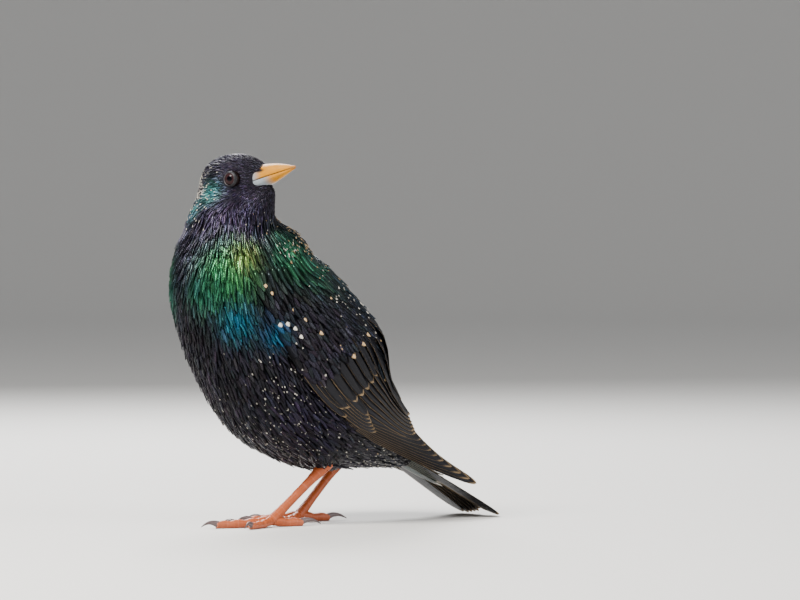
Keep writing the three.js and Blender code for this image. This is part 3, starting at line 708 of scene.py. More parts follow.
# Forehead feathers: how many are tried, where they start, and where they end on the ridge and low beside it
FOREHEAD = {"count": 900, "back": 10.0, "front": 18.4, "low_front": 12.6}
# Where thigh feathers grow: along the thigh from just below the ankle, and out from its middle line
THIGH_COAT_PATCH = {"low": -1.5, "high": 12, "far": 9.5, "spacing": 1.3}


def mouth_line(forward):
    """The height of the mouth line, which rises straight from the gape to the bill's tip."""
    return mix(MOUTH_LOW, MOUTH_HIGH, (forward - GAPE) / (BILL_TIP - GAPE))


def bill_section(forward):
    """The mouth line's height, the half-width, and the height over the line and depth under it."""
    stations = np.array(BILL_STATIONS)
    wide, over, under = (np.interp(forward, stations[:, 0], stations[:, k]) for k in (1, 2, 3))
    return mouth_line(forward), wide, over, under


def in_bill(coords):
    """True where a place of the head lies inside the bill or right beside it."""
    line, wide, over, under = bill_section(coords[:, 0])
    rise = coords[:, 2] - line
    tall = np.where(rise > 0, over, under)
    return (coords[:, 0] > 10.5) & ((coords[:, 1] / (wide + 0.5)) ** 2 + (rise / tall) ** 2 < 1)


def skin_places(low):
    """The skin's points and face middles over a height, their normals, and each one's share of the area."""
    mesh = bpy.data.objects["skin"].data
    places, normals = [], []
    for items, key in ((mesh.vertices, "co"), (mesh.polygons, "center")):
        both = np.empty((2, len(items) * 3), np.float32)
        items.foreach_get(key, both[0])
        items.foreach_get("normal", both[1])
        places.append(both[0].reshape(-1, 3) / MM - NUDGE)
        normals.append(both[1].reshape(-1, 3))
    area = np.empty(len(mesh.polygons), np.float32)
    mesh.polygons.foreach_get("area", area)
    places, normals = np.concatenate(places).astype(float), np.concatenate(normals).astype(float)
    share = area.sum() / MM ** 2 / len(places)
    high = places[:, 2] > low
    return places[high], unit(normals[high]), share


def head_feathers(rng, tree):
    """The head's and neck's feathers. They lie back from the bill on the head, and down on throat and nape.
    They shrink towards the bill and the eye, and lengthen into loose hackles on the throat."""
    root, normal, share = skin_places(NECK_LOW)
    coords = head_coords(root)
    eye_far = np.linalg.norm(coords[:, [0, 2]] - [EYE["forward"], EYE["up"]], axis=1)
    by_eye = (eye_far < BARE_RING) & (np.abs(coords[:, 1]) > 5)
    crown = smoothstep(13, 3, coords[:, 0]) * smoothstep(2.6, 6.5, eye_far)
    lower = smoothstep(127, 112, root[:, 2])
    spacing = mix(mix(HEAD_SPACING[0], HEAD_SPACING[1], crown), HEAD_SPACING[2], lower)
    keep = (rng.random(len(root)) < share / spacing ** 2) & ~by_eye & ~in_bill(coords)
    root, normal, coords, crown, lower = (v[keep] for v in (root, normal, coords, crown, lower))
    n = len(root)
    f, up = coords[:, 0], coords[:, 2]
    back = (1 - 0.75 * smoothstep(-4, -13, up)) * (1 - lower)
    down = np.maximum(smoothstep(-1, -11, up), 0.8 * smoothstep(2, -9, f)) + lower
    way = -HEAD_FORWARD * back[:, None] - np.array([0.0, 0.0, 1.2]) * down[:, None]
    lie = lie_on(normal, way + rng.normal(0, 0.10, (n, 3)))
    throat = smoothstep(0, -9, up) * smoothstep(-8, 2, f)
    on_head = mix(HEAD_LENGTH[0], HEAD_LENGTH[1], crown)
    on_neck = mix(HEAD_LENGTH[2], HEAD_LENGTH[3], throat)
    length = mix(on_head, on_neck, lower) * rng.uniform(0.82, 1.15, n)
    width = mix(mix(HEAD_WIDTH[0], HEAD_WIDTH[1], crown), HEAD_WIDTH[2], lower)
    turn = np.arctan2(coords[:, 1], coords[:, 0]) / (2 * math.pi) + 0.5
    return {
        "root": root, "normal": normal, "lie": lie, "length": length,
        "width": width * rng.uniform(0.9, 1.1, n),
        "rise": np.radians(6.5 + 7 * throat * lower + rng.normal(0, 1.5, n)),
        "pointed": mix(1.9, 1.4, throat),
        "bend": bend_to_skin(root, normal, lie, length, tree) + 0.05,
        "sway": rng.normal(0, 0.06, n),
        "place": bake_place(HEAD_PATCHES, turn, (root[:, 2] - NECK_LOW) / NECK_TALL),
        "t": lower * 2, "sin": -np.ones(n),
    }


def forehead_feathers(rng):
    """Tiny feathers of the forehead that run out over the bill's base as far as the nostrils."""
    angle = np.radians(rng.uniform(22, 158, FOREHEAD["count"]))
    f = rng.uniform(FOREHEAD["back"], FOREHEAD["front"], FOREHEAD["count"])
    keep = f < mix(FOREHEAD["low_front"], FOREHEAD["front"], smoothstep(0.30, 0.75, np.sin(angle)))
    f, angle = f[keep], angle[keep]
    line, wide, over, _ = bill_section(f)
    root = head_place(f, wide * np.cos(angle), line + over * np.sin(angle) ** BILL_ARCH)
    above = head_place(f, 1.3 * wide * np.cos(angle), line + 1.3 * over * np.sin(angle) ** BILL_ARCH)
    normal = unit(above - root)
    n = len(f)
    return {
        "root": root, "normal": normal, "lie": lie_on(normal, -HEAD_FORWARD + rng.normal(0, 0.12, (n, 3))),
        "length": rng.uniform(1.3, 1.9, n), "width": rng.uniform(0.7, 0.9, n),
        "rise": np.radians(17 + rng.normal(0, 1.5, n)), "pointed": np.full(n, 1.9),
        "bend": np.zeros(n), "sway": rng.normal(0, 0.06, n),
        "place": bake_place(HEAD_PATCHES, angle / math.pi, (f - FOREHEAD["back"]) / NECK_TALL),
        "t": np.zeros(n), "sin": -np.ones(n),
    }


def thigh_feathers(rng, tree):
    """Feathers that hang down each thigh to the ankle."""
    root, normal, share = skin_places(0)
    patch = THIGH_COAT_PATCH
    parts = []
    for leg in LEGS.values():
        low, high = np.array(thigh_places(leg))[[0, 3], :3]
        axis = unit(high - low)
        rise = (root - low) @ axis
        far = np.linalg.norm(root - low - rise[:, None] * axis, axis=1)
        near = (rise > patch["low"]) & (rise < patch["high"]) & (far < patch["far"]) & (normal[:, 2] < 0.4)
        keep = near & (rng.random(len(root)) < share / patch["spacing"] ** 2)
        p, out, rise = root[keep], normal[keep], rise[keep]
        n = len(p)
        lie = lie_on(out, np.tile(-axis, (n, 1)) + rng.normal(0, 0.12, (n, 3)))
        length = mix(3.6, 6.5, smoothstep(0, 9, rise)) * rng.uniform(0.85, 1.15, n)
        turn = (np.arctan2(out[:, 1], out[:, 0]) / (2 * math.pi) + 0.5 + (p[:, 1] > 0)) / 2
        parts.append({
            "root": p, "normal": out, "lie": lie, "length": length, "width": length * 0.34,
            "rise": np.radians(6 + rng.normal(0, 2, n)), "pointed": np.full(n, 2.2),
            "bend": bend_to_skin(p, out, lie, length, tree) + 0.1, "sway": rng.normal(0, 0.05, n),
            "place": bake_place(THIGH_PATCHES, turn, (rise - patch["low"]) / (patch["high"] - patch["low"])),
            "t": np.full(n, 8.0), "sin": -np.ones(n),
        })
    return join_coats(parts)


def cover_ramp(t, deg):
    """How far the wing's layers stand off the body: little in front and at the upper and lower edges."""
    upper = smoothstep(25, 50, deg) * (1 - smoothstep(4.8, 6.6, t))
    lower = (1 - smoothstep(-20, 0, deg)) * (1 - smoothstep(5.5, 7.5, t))
    return smoothstep(3.4, 6.0, t) * (1 - 0.8 * upper) * (1 - 0.6 * lower)


def cover_surface(t, angle, side):
    """The surface that small coverts and shoulder feathers grow from, over the front of the folded wing."""
    deg = np.degrees(angle)
    edge = 1 - 0.5 * smoothstep(55, 80, deg)
    return around(SHELL_STATIONS, t, angle, COVER_LIFT * cover_ramp(t, deg) * edge - 0.2, side)


# Feathers over the wing's front. sizes are a length and width at the first station and at the last, and
# slope turns the lie upwards (above zero) or downwards.
COVERS = {
    "small": {"t_range": (3.3, 5.5), "angles": (-16, 56), "spacing": 2.0,
              "sizes": ((7.5, 3.2), (9.0, 4.6)), "slope": 0.0},
    "shoulder": {"t_range": (3.2, 6.3), "angles": (38, 84), "spacing": 2.4,
                 "sizes": ((10.0, 4.2), (14.0, 6.0)), "slope": -0.12},
}


def covering_feathers(rng, side, t_range, angles, spacing, sizes, slope):
    """Feathers that lie back over the wing's front, rooted on its covering surface."""
    def surface(t, a):
        return cover_surface(t, a, side)

    t, a = scatter(surface, t_range, np.radians(angles), lambda t, a: np.full(t.shape, spacing))
    root = surface(t, a)
    along = surface(t + AHEAD, a) - root
    round_ = surface(t, a + EPS) - root
    normal = unit(np.cross(round_, along)) * side
    normal *= np.sign(np.sum(normal * (root - around(SHELL_STATIONS, t, a, -5, side)), -1, keepdims=True))
    n = len(t)
    lie = lie_on(normal, unit(along) + slope * unit(round_) + rng.normal(0, 0.06, (n, 3)))
    share = (t - t_range[0]) / (t_range[1] - t_range[0])
    length = mix(sizes[0][0], sizes[1][0], share) * rng.uniform(0.88, 1.12, n)
    reach = length / np.maximum(np.linalg.norm(along, axis=-1) / AHEAD, 1e-6)
    tip = surface(t + reach, a)
    return {
        "root": root, "normal": normal, "lie": lie, "length": length,
        "width": mix(sizes[0][1], sizes[1][1], share) * rng.uniform(0.9, 1.1, n),
        "rise": np.radians(4 + rng.normal(0, 1, n)), "pointed": np.full(n, 2.6),
        "bend": np.sum((tip - root) * normal, -1) + 0.1, "sway": rng.normal(0, 0.04, n),
        "place": bake_place(COVER_PATCHES, np.degrees(a) / 110 + 0.18, (t - 3) / 3.5),
        "t": t, "sin": np.sin(a),
    }


# Materials
NOISE_DETAIL = 3.0
BARB_RELIEF = 0.0001  # height of the barbs in metres
SKIN_RELIEF = 0.0002  # height of the grain of skin and horn in metres


class Nodes:
    """A node tree that is written as calls: each call adds a node and links or sets its inputs."""

    def __init__(self, tree):
        self.tree = tree

    def feed(self, node, inputs):
        """Links or sets a node's inputs by name or number."""
        for key, value in inputs.items():
            if isinstance(value, bpy.types.NodeSocket):
                self.tree.links.new(value, node.inputs[key])
            else:
                node.inputs[key].default_value = value

    def add(self, kind, inputs=None, **settings):
        """Adds a node, sets its properties, and feeds its inputs."""
        node = self.tree.nodes.new(kind)
        for key, value in settings.items():
            setattr(node, key, value)
        self.feed(node, inputs or {})
        return node

    def math(self, operation, *values):
        """The result of one sum."""
        return self.add("ShaderNodeMath", dict(enumerate(values)), operation=operation).outputs[0]

    def ramp(self, x, low, high):
        """0 under low and 1 over high, with a smooth rise between them."""
        node = self.add("ShaderNodeMapRange", interpolation_type="SMOOTHSTEP")
        self.feed(node, {"Value": x, "From Min": low, "From Max": high})
        return node.outputs["Result"]

    def mix(self, share, a, b):
        """Colour a at share 0 and colour b at share 1. Inputs 6 and 7 of this node take its colours."""
        node = self.add("ShaderNodeMix", data_type="RGBA")
        self.feed(node, {0: share, 6: a, 7: b})
        return node.outputs[2]

    def scaled(self, colour, amount):
        """A colour times a number."""
        inputs = {0: colour, "Scale": amount}
        return self.add("ShaderNodeVectorMath", inputs, operation="SCALE").outputs[0]

    def relief(self, height, strength, distance):
        """A normal that leans with the slope of a height, which stands for a distance in metres."""
        inputs = {"Height": height, "Strength": strength, "Distance": distance}
        return self.add("ShaderNodeBump", inputs).outputs[0]

    def attribute(self, name, output="Fac"):
        """A number or colour that a piece carries at its points."""
        return self.add("ShaderNodeAttribute", attribute_name=name).outputs[output]

    def noise(self, scale):
        """A smooth random pattern over Object coordinates."""
        where = self.add("ShaderNodeTexCoord").outputs["Object"]
        node = self.add("ShaderNodeTexNoise", {"Vector": where, "Scale": scale, "Detail": NOISE_DETAIL})
        return node.outputs["Fac"]


def new_group(name, inputs, outputs):
    """A node group with named number sockets, and its two end nodes."""
    tree = bpy.data.node_groups.new(name, "ShaderNodeTree")
    for key in inputs:
        tree.interface.new_socket(key, in_out="INPUT", socket_type="NodeSocketFloat")
    for key in outputs:
        tree.interface.new_socket(key, in_out="OUTPUT", socket_type="NodeSocketFloat")
    net = Nodes(tree)
    return net, net.add("NodeGroupInput"), net.add("NodeGroupOutput")


def vane_group():
    """The pattern of one feather: barbs that run out and forward from the shaft, a pale tip and pale rims."""
    name = "Vane pattern"
    if name in bpy.data.node_groups:
        return bpy.data.node_groups[name]
    net, inside, out = new_group(
        name, ["Across", "Along", "Barbs", "Wedge", "Spot", "Rim"], ["Height", "Shade", "Pale"])
    off_shaft = net.math("ABSOLUTE", net.math("SUBTRACT", inside.outputs["Across"], 0.5))
    across = net.math("MULTIPLY", off_shaft, 2.0)
    slant = net.math("SUBTRACT", inside.outputs["Along"], net.math("MULTIPLY", across, 0.16))
    wave = net.math("SINE", net.math("MULTIPLY", slant, inside.outputs["Barbs"]))
    barbs = net.math("MULTIPLY_ADD", wave, 0.5, 0.5)
    shaft = net.math("SUBTRACT", 1.0, net.ramp(across, 0.03, 0.12))
    drawn_out = net.math("MULTIPLY", across, inside.outputs["Wedge"])
    reach = net.math("SUBTRACT", inside.outputs["Along"], drawn_out)
    tip = net.ramp(reach, inside.outputs["Spot"], net.math("ADD", inside.outputs["Spot"], 0.035))
    edge = net.math("SUBTRACT", 1.0, inside.outputs["Rim"])
    rim = net.ramp(across, edge, net.math("ADD", edge, 0.04))
    rim = net.math("MULTIPLY", rim, net.math("GREATER_THAN", inside.outputs["Rim"], 0.001))
    pale = net.math("MAXIMUM", tip, rim)
    shade = net.math("ADD", net.math("MULTIPLY", barbs, 0.55), net.math("MULTIPLY", shaft, -0.25))
    links = net.tree.links
    links.new(net.math("ADD", barbs, net.math("MULTIPLY", shaft, 1.2)), out.inputs["Height"])
    links.new(net.math("ADD", shade, 0.7), out.inputs["Shade"])
    links.new(pale, out.inputs["Pale"])
    return net.tree


def principled(name, colour, rough, **sockets):
    """A material with a Principled BSDF, and its node writer and shader. Other sockets are set by name."""
    material = bpy.data.materials.new(name)
    material.use_nodes = True
    material.diffuse_color = (*colour, 1)
    net = Nodes(material.node_tree)
    shader = material.node_tree.nodes["Principled BSDF"]
    shader.inputs["Base Color"].default_value = (*colour, 1)
    shader.inputs["Roughness"].default_value = rough
    for key, value in sockets.items():
        shader.inputs[key.replace("_", " ")].default_value = value
    return material, net, shader


def feather_material(name, barbs, wedge, rough, metal, bump):
    """Vanes in their own Tint with barbs, shaft, rims and tip, and a metal gloss on the dark part."""
    if name in bpy.data.materials:
        return bpy.data.materials[name]
    material, net, shader = principled(name, tuple(BODY_INK), rough, Specular_IOR_Level=0.25)
    own = net.add("ShaderNodeSeparateXYZ", {0: net.add("ShaderNodeUVMap", uv_map="Vane").outputs[0]})
    pattern = net.add("ShaderNodeGroup", node_tree=vane_group())
    links = material.node_tree.links
    for key, value in (("Across", own.outputs[0]), ("Along", own.outputs[1]),
                       ("Spot", net.attribute("Spot")), ("Rim", net.attribute("Rim"))):
        links.new(value, pattern.inputs[key])
    pattern.inputs["Barbs"].default_value = barbs
    pattern.inputs["Wedge"].default_value = wedge
    patchy = net.math("ADD", 0.6, net.math("MULTIPLY", net.noise(420.0), 0.8))
    shade = net.math("MULTIPLY", pattern.outputs["Shade"], patchy)
    dark = net.scaled(net.attribute("Tint", "Color"), shade)
    colour = net.mix(pattern.outputs["Pale"], dark, net.attribute("Tip", "Color"))
    links.new(colour, shader.inputs["Base Color"])
    links.new(net.math("MULTIPLY", net.math("SUBTRACT", 1.0, pattern.outputs["Pale"]), metal),
              shader.inputs["Metallic"])
    links.new(net.math("ADD", rough, net.math("MULTIPLY", pattern.outputs["Pale"], 0.25)),
              shader.inputs["Roughness"])
    links.new(net.relief(pattern.outputs["Height"], bump, BARB_RELIEF), shader.inputs["Normal"])
    return material


def flight_material():
    """The look of wing and tail vanes: fine barbs, pale tips that run almost square across, little metal."""
    return feather_material("flight feathers", 420.0, -0.04, 0.42, 0.3, 0.35)


def skin_material():
    """The dark skin and down that shows between feathers, in the same colours as the coat over it."""
    material, net, shader = principled("skin down", tuple(BODY_INK), 0.7, Specular_IOR_Level=0.08)
    soft = net.math("ADD", 0.15, net.math("MULTIPLY", net.noise(900.0), 0.35))
    links = material.node_tree.links
    links.new(net.scaled(net.attribute("Tint", "Color"), soft), shader.inputs["Base Color"])
    links.new(net.relief(net.noise(2500.0), 0.6, SKIN_RELIEF), shader.inputs["Normal"])
    return material


def bare_material(name, rough, bump, scale, coat=0.0):
    """Horn or scaly skin in its own Tint, mottled, with a fine relief."""
    if name in bpy.data.materials:
        return bpy.data.materials[name]
    material, net, shader = principled(name, (0.5, 0.3, 0.1), rough, Coat_Weight=coat, Specular_IOR_Level=0.3)
    mottle = net.math("ADD", 0.78, net.math("MULTIPLY", net.noise(scale), 0.45))
    links = material.node_tree.links
    links.new(net.scaled(net.attribute("Tint", "Color"), mottle), shader.inputs["Base Color"])
    links.new(net.relief(net.noise(scale * 3), bump, SKIN_RELIEF), shader.inputs["Normal"])
    return material


# Pieces
def build_skin(settings):
    """One skin over body, nape, head and thighs: closed forms fused by a voxel remesh, then smoothed."""
    turn = np.arange(72) / 72 * 2 * math.pi
    t = np.linspace(0, LAST_STATION, 70)
    forms = [around(BODY_STATIONS, t[:, None], turn, -COAT_DEPTH)]
    t = np.linspace(0, len(HEAD_STATIONS) - 1, 50)
    forms.append(head_surface(t[:, None], turn, -HEAD_COAT))
    nape = rows_curve(NAPE, np.linspace(0, len(NAPE) - 1, 30))
    forms.append(tube(nape[:, :3], nape[:, 3] - HEAD_COAT, 72))
    throat = rows_curve(THROAT, np.linspace(0, len(THROAT) - 1, 40))
    forms.append(tube(throat[:, :3], throat[:, 3] - HEAD_COAT, 60))
    for leg in LEGS.values():
        thigh = rows_curve(thigh_places(leg), np.linspace(0, 3, 24))
        forms.append(tube(thigh[:, :3], thigh[:, 3] - THIGH_COAT, 40))
    points = np.concatenate([f.reshape(-1, 3) for f in forms])
    faces, start = [], 0
    for form in forms:
        part = outward(form.reshape(-1, 3), ring_faces((1, *form.shape[:2])))
        faces += [f + start for f in part]
        start += form.shape[0] * form.shape[1]
    rough = make_mesh("skin_forms", points, faces)
    remesh = rough.modifiers.new("fuse", "REMESH")
    remesh.mode = "VOXEL"
    remesh.voxel_size = settings.skin_voxel
    relax = rough.modifiers.new("relax", "SMOOTH")
    relax.factor = 0.6
    relax.iterations = 8
    graph = bpy.context.evaluated_depsgraph_get()
    mesh = bpy.data.meshes.new_from_object(rough.evaluated_get(graph))
    bpy.data.objects.remove(rough)
    mesh.name = "skin"
    skin = bpy.data.objects.new("skin", mesh)
    bpy.context.scene.collection.objects.link(skin)
    co = np.empty(len(mesh.vertices) * 3, np.float32)
    mesh.vertices.foreach_get("co", co)
    mesh.polygons.foreach_set("use_smooth", np.ones(len(mesh.polygons), bool))
    # The skin takes the coat's gloss colours, painted sheen included, and its material darkens them.
    add_attribute(mesh, "Tint", plumage_tint(co.reshape(-1, 3) / MM - NUDGE))
    thighs = [f"thigh_{name}" for name in SIDES]
    return finish_piece(skin, skin_material(), "plumage", "head", "neck", "torso", *thighs)


def thigh_places(leg):
    """The thigh's places with a radius at each, from the ankle up into the body."""
    ankle = np.array(leg["ankle"])
    hip = np.array([ankle[0] - THIGH["sink"] * 0.45, ankle[1] * 1.15, ankle[2] + THIGH["sink"]])
    radii = [THIGH["bottom"], THIGH["bottom"] * 1.5, THIGH["top"] * 0.85, THIGH["top"]]
    return [[*mix(ankle, hip, s), r] for s, r in zip((-0.05, 0.2, 0.6, 1), radii)]


def build_coat(settings):
    """The body's and head's feathers, parted into pieces that stay light."""
    rng = np.random.default_rng(11)
    tree = skin_tree()
    material = feather_material("body feathers", 60.0, 0.07, 0.34, settings.gloss, 0.25)
    body = join_coats([body_feathers(rng, tree), thigh_feathers(rng, tree)])
    head = join_coats([head_feathers(rng, tree), forehead_feathers(rng)])
    zones = {
        "coat_head": (head, head["t"] < 1),
        "coat_neck": (head, head["t"] >= 1),
        "coat_throat": (body, (body["t"] < 2.4) & (body["sin"] < 0.2)),
        "coat_breast": (body, (body["t"] >= 2.4) & (body["t"] < 5) & (body["sin"] < 0.2)),
        "coat_belly": (body, (body["t"] >= 5) & (body["sin"] < 0.2)),
        "coat_back": (body, body["sin"] >= 0.2),
    }
    for name, side in SIDES.items():
        cover = join_coats([covering_feathers(rng, side, **row) for row in COVERS.values()])
        zones[f"coat_shoulder_{name}"] = (cover, np.ones(len(cover["t"]), bool))
    for name, (coat, pick) in zones.items():
        part = {key: value[pick] for key, value in coat.items()}
        coat_piece(name, part, material, rng)


def row_vanes(row, side):
    """Paths, normals and half-widths of a row of wing feathers, from the row's first to its last."""
    share = np.linspace(0, 1, row["count"])[:, None]
    root, tip = (mix(np.array(row[k][0], float), np.array(row[k][1], float), share) for k in ("root", "tip"))
    s = LARGE_STOPS[None, :]
    station = root[:, :1] + (tip - root)[:, :1] * s
    angle = np.radians(root[:, 1:] + (tip - root)[:, 1:] * s)
    order = np.arange(row["count"])[::-1, None]
    lift = (row["lift"] + order * row["step"]) * (1 - 0.35 * s) * cover_ramp(station, np.degrees(angle))
    lift = lift - QUILL_SINK * (1 - s) ** 3
    path = around(SHELL_STATIONS, station, angle, lift, side)
    out = unit(around(SHELL_STATIONS, station, angle, lift + 1, side) - path)
    half = row["width"] / 2 * vane_half_width(s, row["pointed"]) * np.ones((row["count"], 1))
    return path, out, half


def big_vanes(path, out, half, tilt, camber):
    """Rings of large vanes along paths: the across way is the normal crossed with the way ahead."""
    ahead = unit(np.gradient(path, axis=1))
    across = unit(np.cross(out, ahead))
    out = np.cross(ahead, across)
    thick = np.full(half.shape, LARGE_THICK)
    return vane_rings(path, across, out, half, thick, LARGE_SECTION, tilt, camber)


def vane_piece(name, rings, rows):
    """A piece of large vanes from their rings and, for each row of them, their marks and bake places."""
    shape = rings.shape[:3]
    marks = {key: per_point(np.concatenate([row[key] for row in rows]), shape)
             for key in ("Tint", "Tip", "Spot", "Rim")}
    places = np.concatenate([row["place"] for row in rows])
    return tubes_piece(name, rings, vane_maps(shape, LARGE_STOPS, LARGE_SECTION, places), marks)


def row_places(count, height):
    """Bake places of a row of large vanes: side by side, at one height of the map."""
    return np.stack([np.linspace(0.05, 0.95, count), np.full(count, height)], 1)


def build_wing(name, side, settings):
    """The tiers of a folded wing: primaries, secondaries, tertials, coverts and the alula."""
    rng = np.random.default_rng(23)
    rings, rows = [], []
    for row in WING_ROWS.values():
        path, out, half = row_vanes(row, side)
        n = row["count"]
        rings.append(big_vanes(path, out, half, side * WING_TILT, 0.05))
        rows.append({
            "Tint": np.tile(settings.wing_colour, (n, 1)) * rng.uniform(0.75, 1.25, (n, 1)),
            "Tip": np.tile(BUFF, (n, 1)) * rng.uniform(0.35, 0.6, (n, 1)),
            "Spot": np.full(n, row["spot"]),
            "Rim": np.full(n, row["rim"]),
            "place": row_places(n, 0.05 + 0.13 * len(rows)),
        })
    wing = vane_piece(f"wing_feathers_{name}", np.concatenate(rings), rows)
    return finish_piece(wing, flight_material(), "flight", f"wing_{name}")


def build_arm(name, side):
    """The folded arm under the coverts: a patch of the shell that swells between its edges."""
    rows, columns = 30, 24
    i = np.linspace(0, 1, rows)[:, None]
    j = np.linspace(0, 1, columns)[None, :]
    t = mix(ARM["first"], ARM["last"], i) + 0 * j
    a = np.radians(mix(ARM["low"], ARM["high"], j)) + 0 * i
    swell = ARM["swell"] * cover_ramp(t, np.degrees(a)) * np.sin(math.pi * (0.05 + 0.9 * j)) ** 0.5
    outer = around(SHELL_STATIONS, t, a, swell - 0.4, side)
    inner = around(SHELL_STATIONS, t, a, -ARM["sink"], side)[:, ::-1]
    rings = np.concatenate([outer, inner], 1)[None]
    tint = np.tile(BODY_INK, (rings.shape[1] * rings.shape[2], 1))
    arm = tubes_piece(f"wing_arm_{name}", rings, None, {"Tint": tint})
    return finish_piece(arm, bpy.data.materials["skin down"], "plumage")


def tail_frame():
    """The tail's way back, its up and its length."""
    back = TAIL_TIP - TAIL_ROOT
    length = np.linalg.norm(back)
    back = back / length
    return back, np.cross(back, [0.0, 1.0, 0.0]), length


def tail_path(start, length, root_y, tip_y, lift, sag):
    """Paths back along the tail's plane that spread from root_y to tip_y, with a lift and a sag over it."""
    back, up, _ = tail_frame()
    s = LARGE_STOPS[None, :]
    run = start + length[:, None] * s
    y = root_y[:, None] + (tip_y - root_y)[:, None] * s
    h = lift[:, None] + sag[:, None] * s * s
    path = TAIL_ROOT + run[..., None] * back + y[..., None] * np.array([0.0, 1.0, 0.0]) + h[..., None] * up
    return path, np.broadcast_to(up, path.shape)


def tail_feathers():
    """Rings of the twelve tail feathers, in two stepped halves with a shallow notch between them."""
    _, _, full = tail_frame()
    pair = np.tile(np.arange(TAIL["pairs"]), 2)
    side = np.repeat([LEFT, RIGHT], TAIL["pairs"])
    length = full - np.where(pair == 0, TAIL["notch"], TAIL["notch"] * 0.4)
    length = length - (pair == TAIL["pairs"] - 1) * TAIL["shorter"]
    lift = -TAIL["step"] * pair + (side == LEFT) * TAIL["step"] / 3
    path, out = tail_path(0.0, length, side * (0.8 + TAIL["spread_root"] * pair),
                          side * (1.6 + TAIL["spread_tip"] * pair), lift, np.zeros(len(pair)))
    half = TAIL["width"] / 2 * vane_half_width(LARGE_STOPS[None, :], 9.0) * np.ones((len(pair), 1))
    return big_vanes(path, out, half, 0, 0.03)


def tail_coverts(row):
    """Rings of a fan of coverts over the tail, or under it where its height is below zero."""
    count, height = row["count"], row["height"]
    off = np.arange(count) - (count - 1) / 2
    length = row["longest"] - 1.5 * np.abs(off)
    lift = height - np.sign(height) * 0.3 * np.abs(off) + 0.04 * np.arange(count)
    path, out = tail_path(3.0, length, off * row["spread"] * 0.5, off * row["spread"], lift,
                          np.full(count, -height * 0.55))
    half = row["width"] / 2 * vane_half_width(LARGE_STOPS[None, :], 3.2) * np.ones((count, 1))
    return big_vanes(path, out, half, 0, 0.06)


def build_tail(settings):
    """The tail feathers and their coverts over and under them."""
    groups = [(tail_feathers(), {"tint": settings.wing_colour, **TAIL_MARKS})]
    groups += [(tail_coverts(row), row) for row in TAIL_COVERTS]
    rows = []
    for rings, look in groups:
        n = len(rings)
        rows.append({
            "Tint": np.tile(np.array(look["tint"], float), (n, 1)),
            "Tip": np.tile(look["tone"], (n, 1)),
            "Spot": np.full(n, look["spot"], float),
            "Rim": np.full(n, look["rim"], float),
            "place": row_places(n, 0.2 + 0.3 * len(rows)),
        })
    tail = vane_piece("tail_feathers", np.concatenate([rings for rings, _ in groups]), rows)
    return finish_piece(tail, flight_material(), "flight", "tail")


def bill_rings(half):
    """One half of the bill: the mouth line rises from the gape to the tip, and an arch stands on it."""
    t = np.linspace(0, len(BILL_STATIONS) - 1, 90)
    forward, width, over, under = np.moveaxis(rows_curve(BILL_STATIONS, t), -1, 0)
    tall = over if half > 0 else under
    mouth = mouth_line(forward) + half * MOUTH_GAP / 2
    angle = np.arange(64) / 64 * 2 * math.pi
    up = mouth[:, None] + half * tall[:, None] * np.maximum(np.sin(angle), 0) ** BILL_ARCH
    hole = np.exp(-((forward[:, None] - NOSTRIL["forward"]) / NOSTRIL["long"]) ** 2
                  - ((up - NOSTRIL["up"]) / NOSTRIL["tall"]) ** 2) * (half > 0)
    wide = (width[:, None] - NOSTRIL["deep"] * hole) * np.cos(angle)
    return head_place(forward[:, None], wide, up), forward, hole.ravel()


# Forward places between which each half's blue-grey base turns yellow, and where the tip starts to darken
BILL_BASE = {"bill_upper": (13.0, 18.0), "bill_lower": (17.5, 22.5)}
BILL_DARKER = 28


def build_bill(settings):
    """Both halves of the bill: yellow horn, with a blue-grey base that reaches further on the lower half, and
    painted shade in each nostril.
    """
    for name, half in (("bill_upper", 1), ("bill_lower", -1)):
        rings, forward, hole = bill_rings(half)
        forward = np.repeat(forward, rings.shape[1])
        yellow = np.array(settings.bill_colour)
        base = np.array(settings.bill_base_colour)
        first, last = BILL_BASE[name]
        tint = mix(base, yellow, smoothstep(first, last, forward)[:, None])
        tint = mix(tint, yellow * [0.8, 0.7, 0.6], smoothstep(BILL_DARKER, BILL_TIP, forward)[:, None])
        # Painted shade: the nostril's shallow dent is painted ink-black for the shade inside its opening.
        tint = mix(tint, BODY_INK, np.minimum(hole * 1.6, 1)[:, None])
        piece = tubes_piece(f"{name}_horn", rings[None], None, {"Tint": tint})
        finish_piece(piece, bare_material("bill horn", 0.42, 0.15, 300.0), "bill", name)


# Places on the eye by the sine of the angle from its gaze: where the pupil ends, and where the iris does
PUPIL_EDGE = (0.30, 0.38)
IRIS_EDGE = (0.62, 0.74)
LID_RIM = np.array([0.26, 0.23, 0.24])


def eye_material():
    """A glossy eyeball: black pupil, dark brown iris and a darker edge, as rings round its gaze."""
    material, net, shader = principled(
        "eyeball", (0.02, 0.01, 0.01), 0.04, IOR=1.38, Specular_IOR_Level=0.14)
    gaze = net.attribute("Gaze")
    iris = net.mix(net.ramp(gaze, *PUPIL_EDGE), (0.001, 0.001, 0.002, 1), (0.022, 0.009, 0.010, 1))
    edge = net.mix(net.ramp(gaze, *IRIS_EDGE), iris, (0.006, 0.003, 0.003, 1))
    material.node_tree.links.new(edge, shader.inputs["Base Color"])
    return material


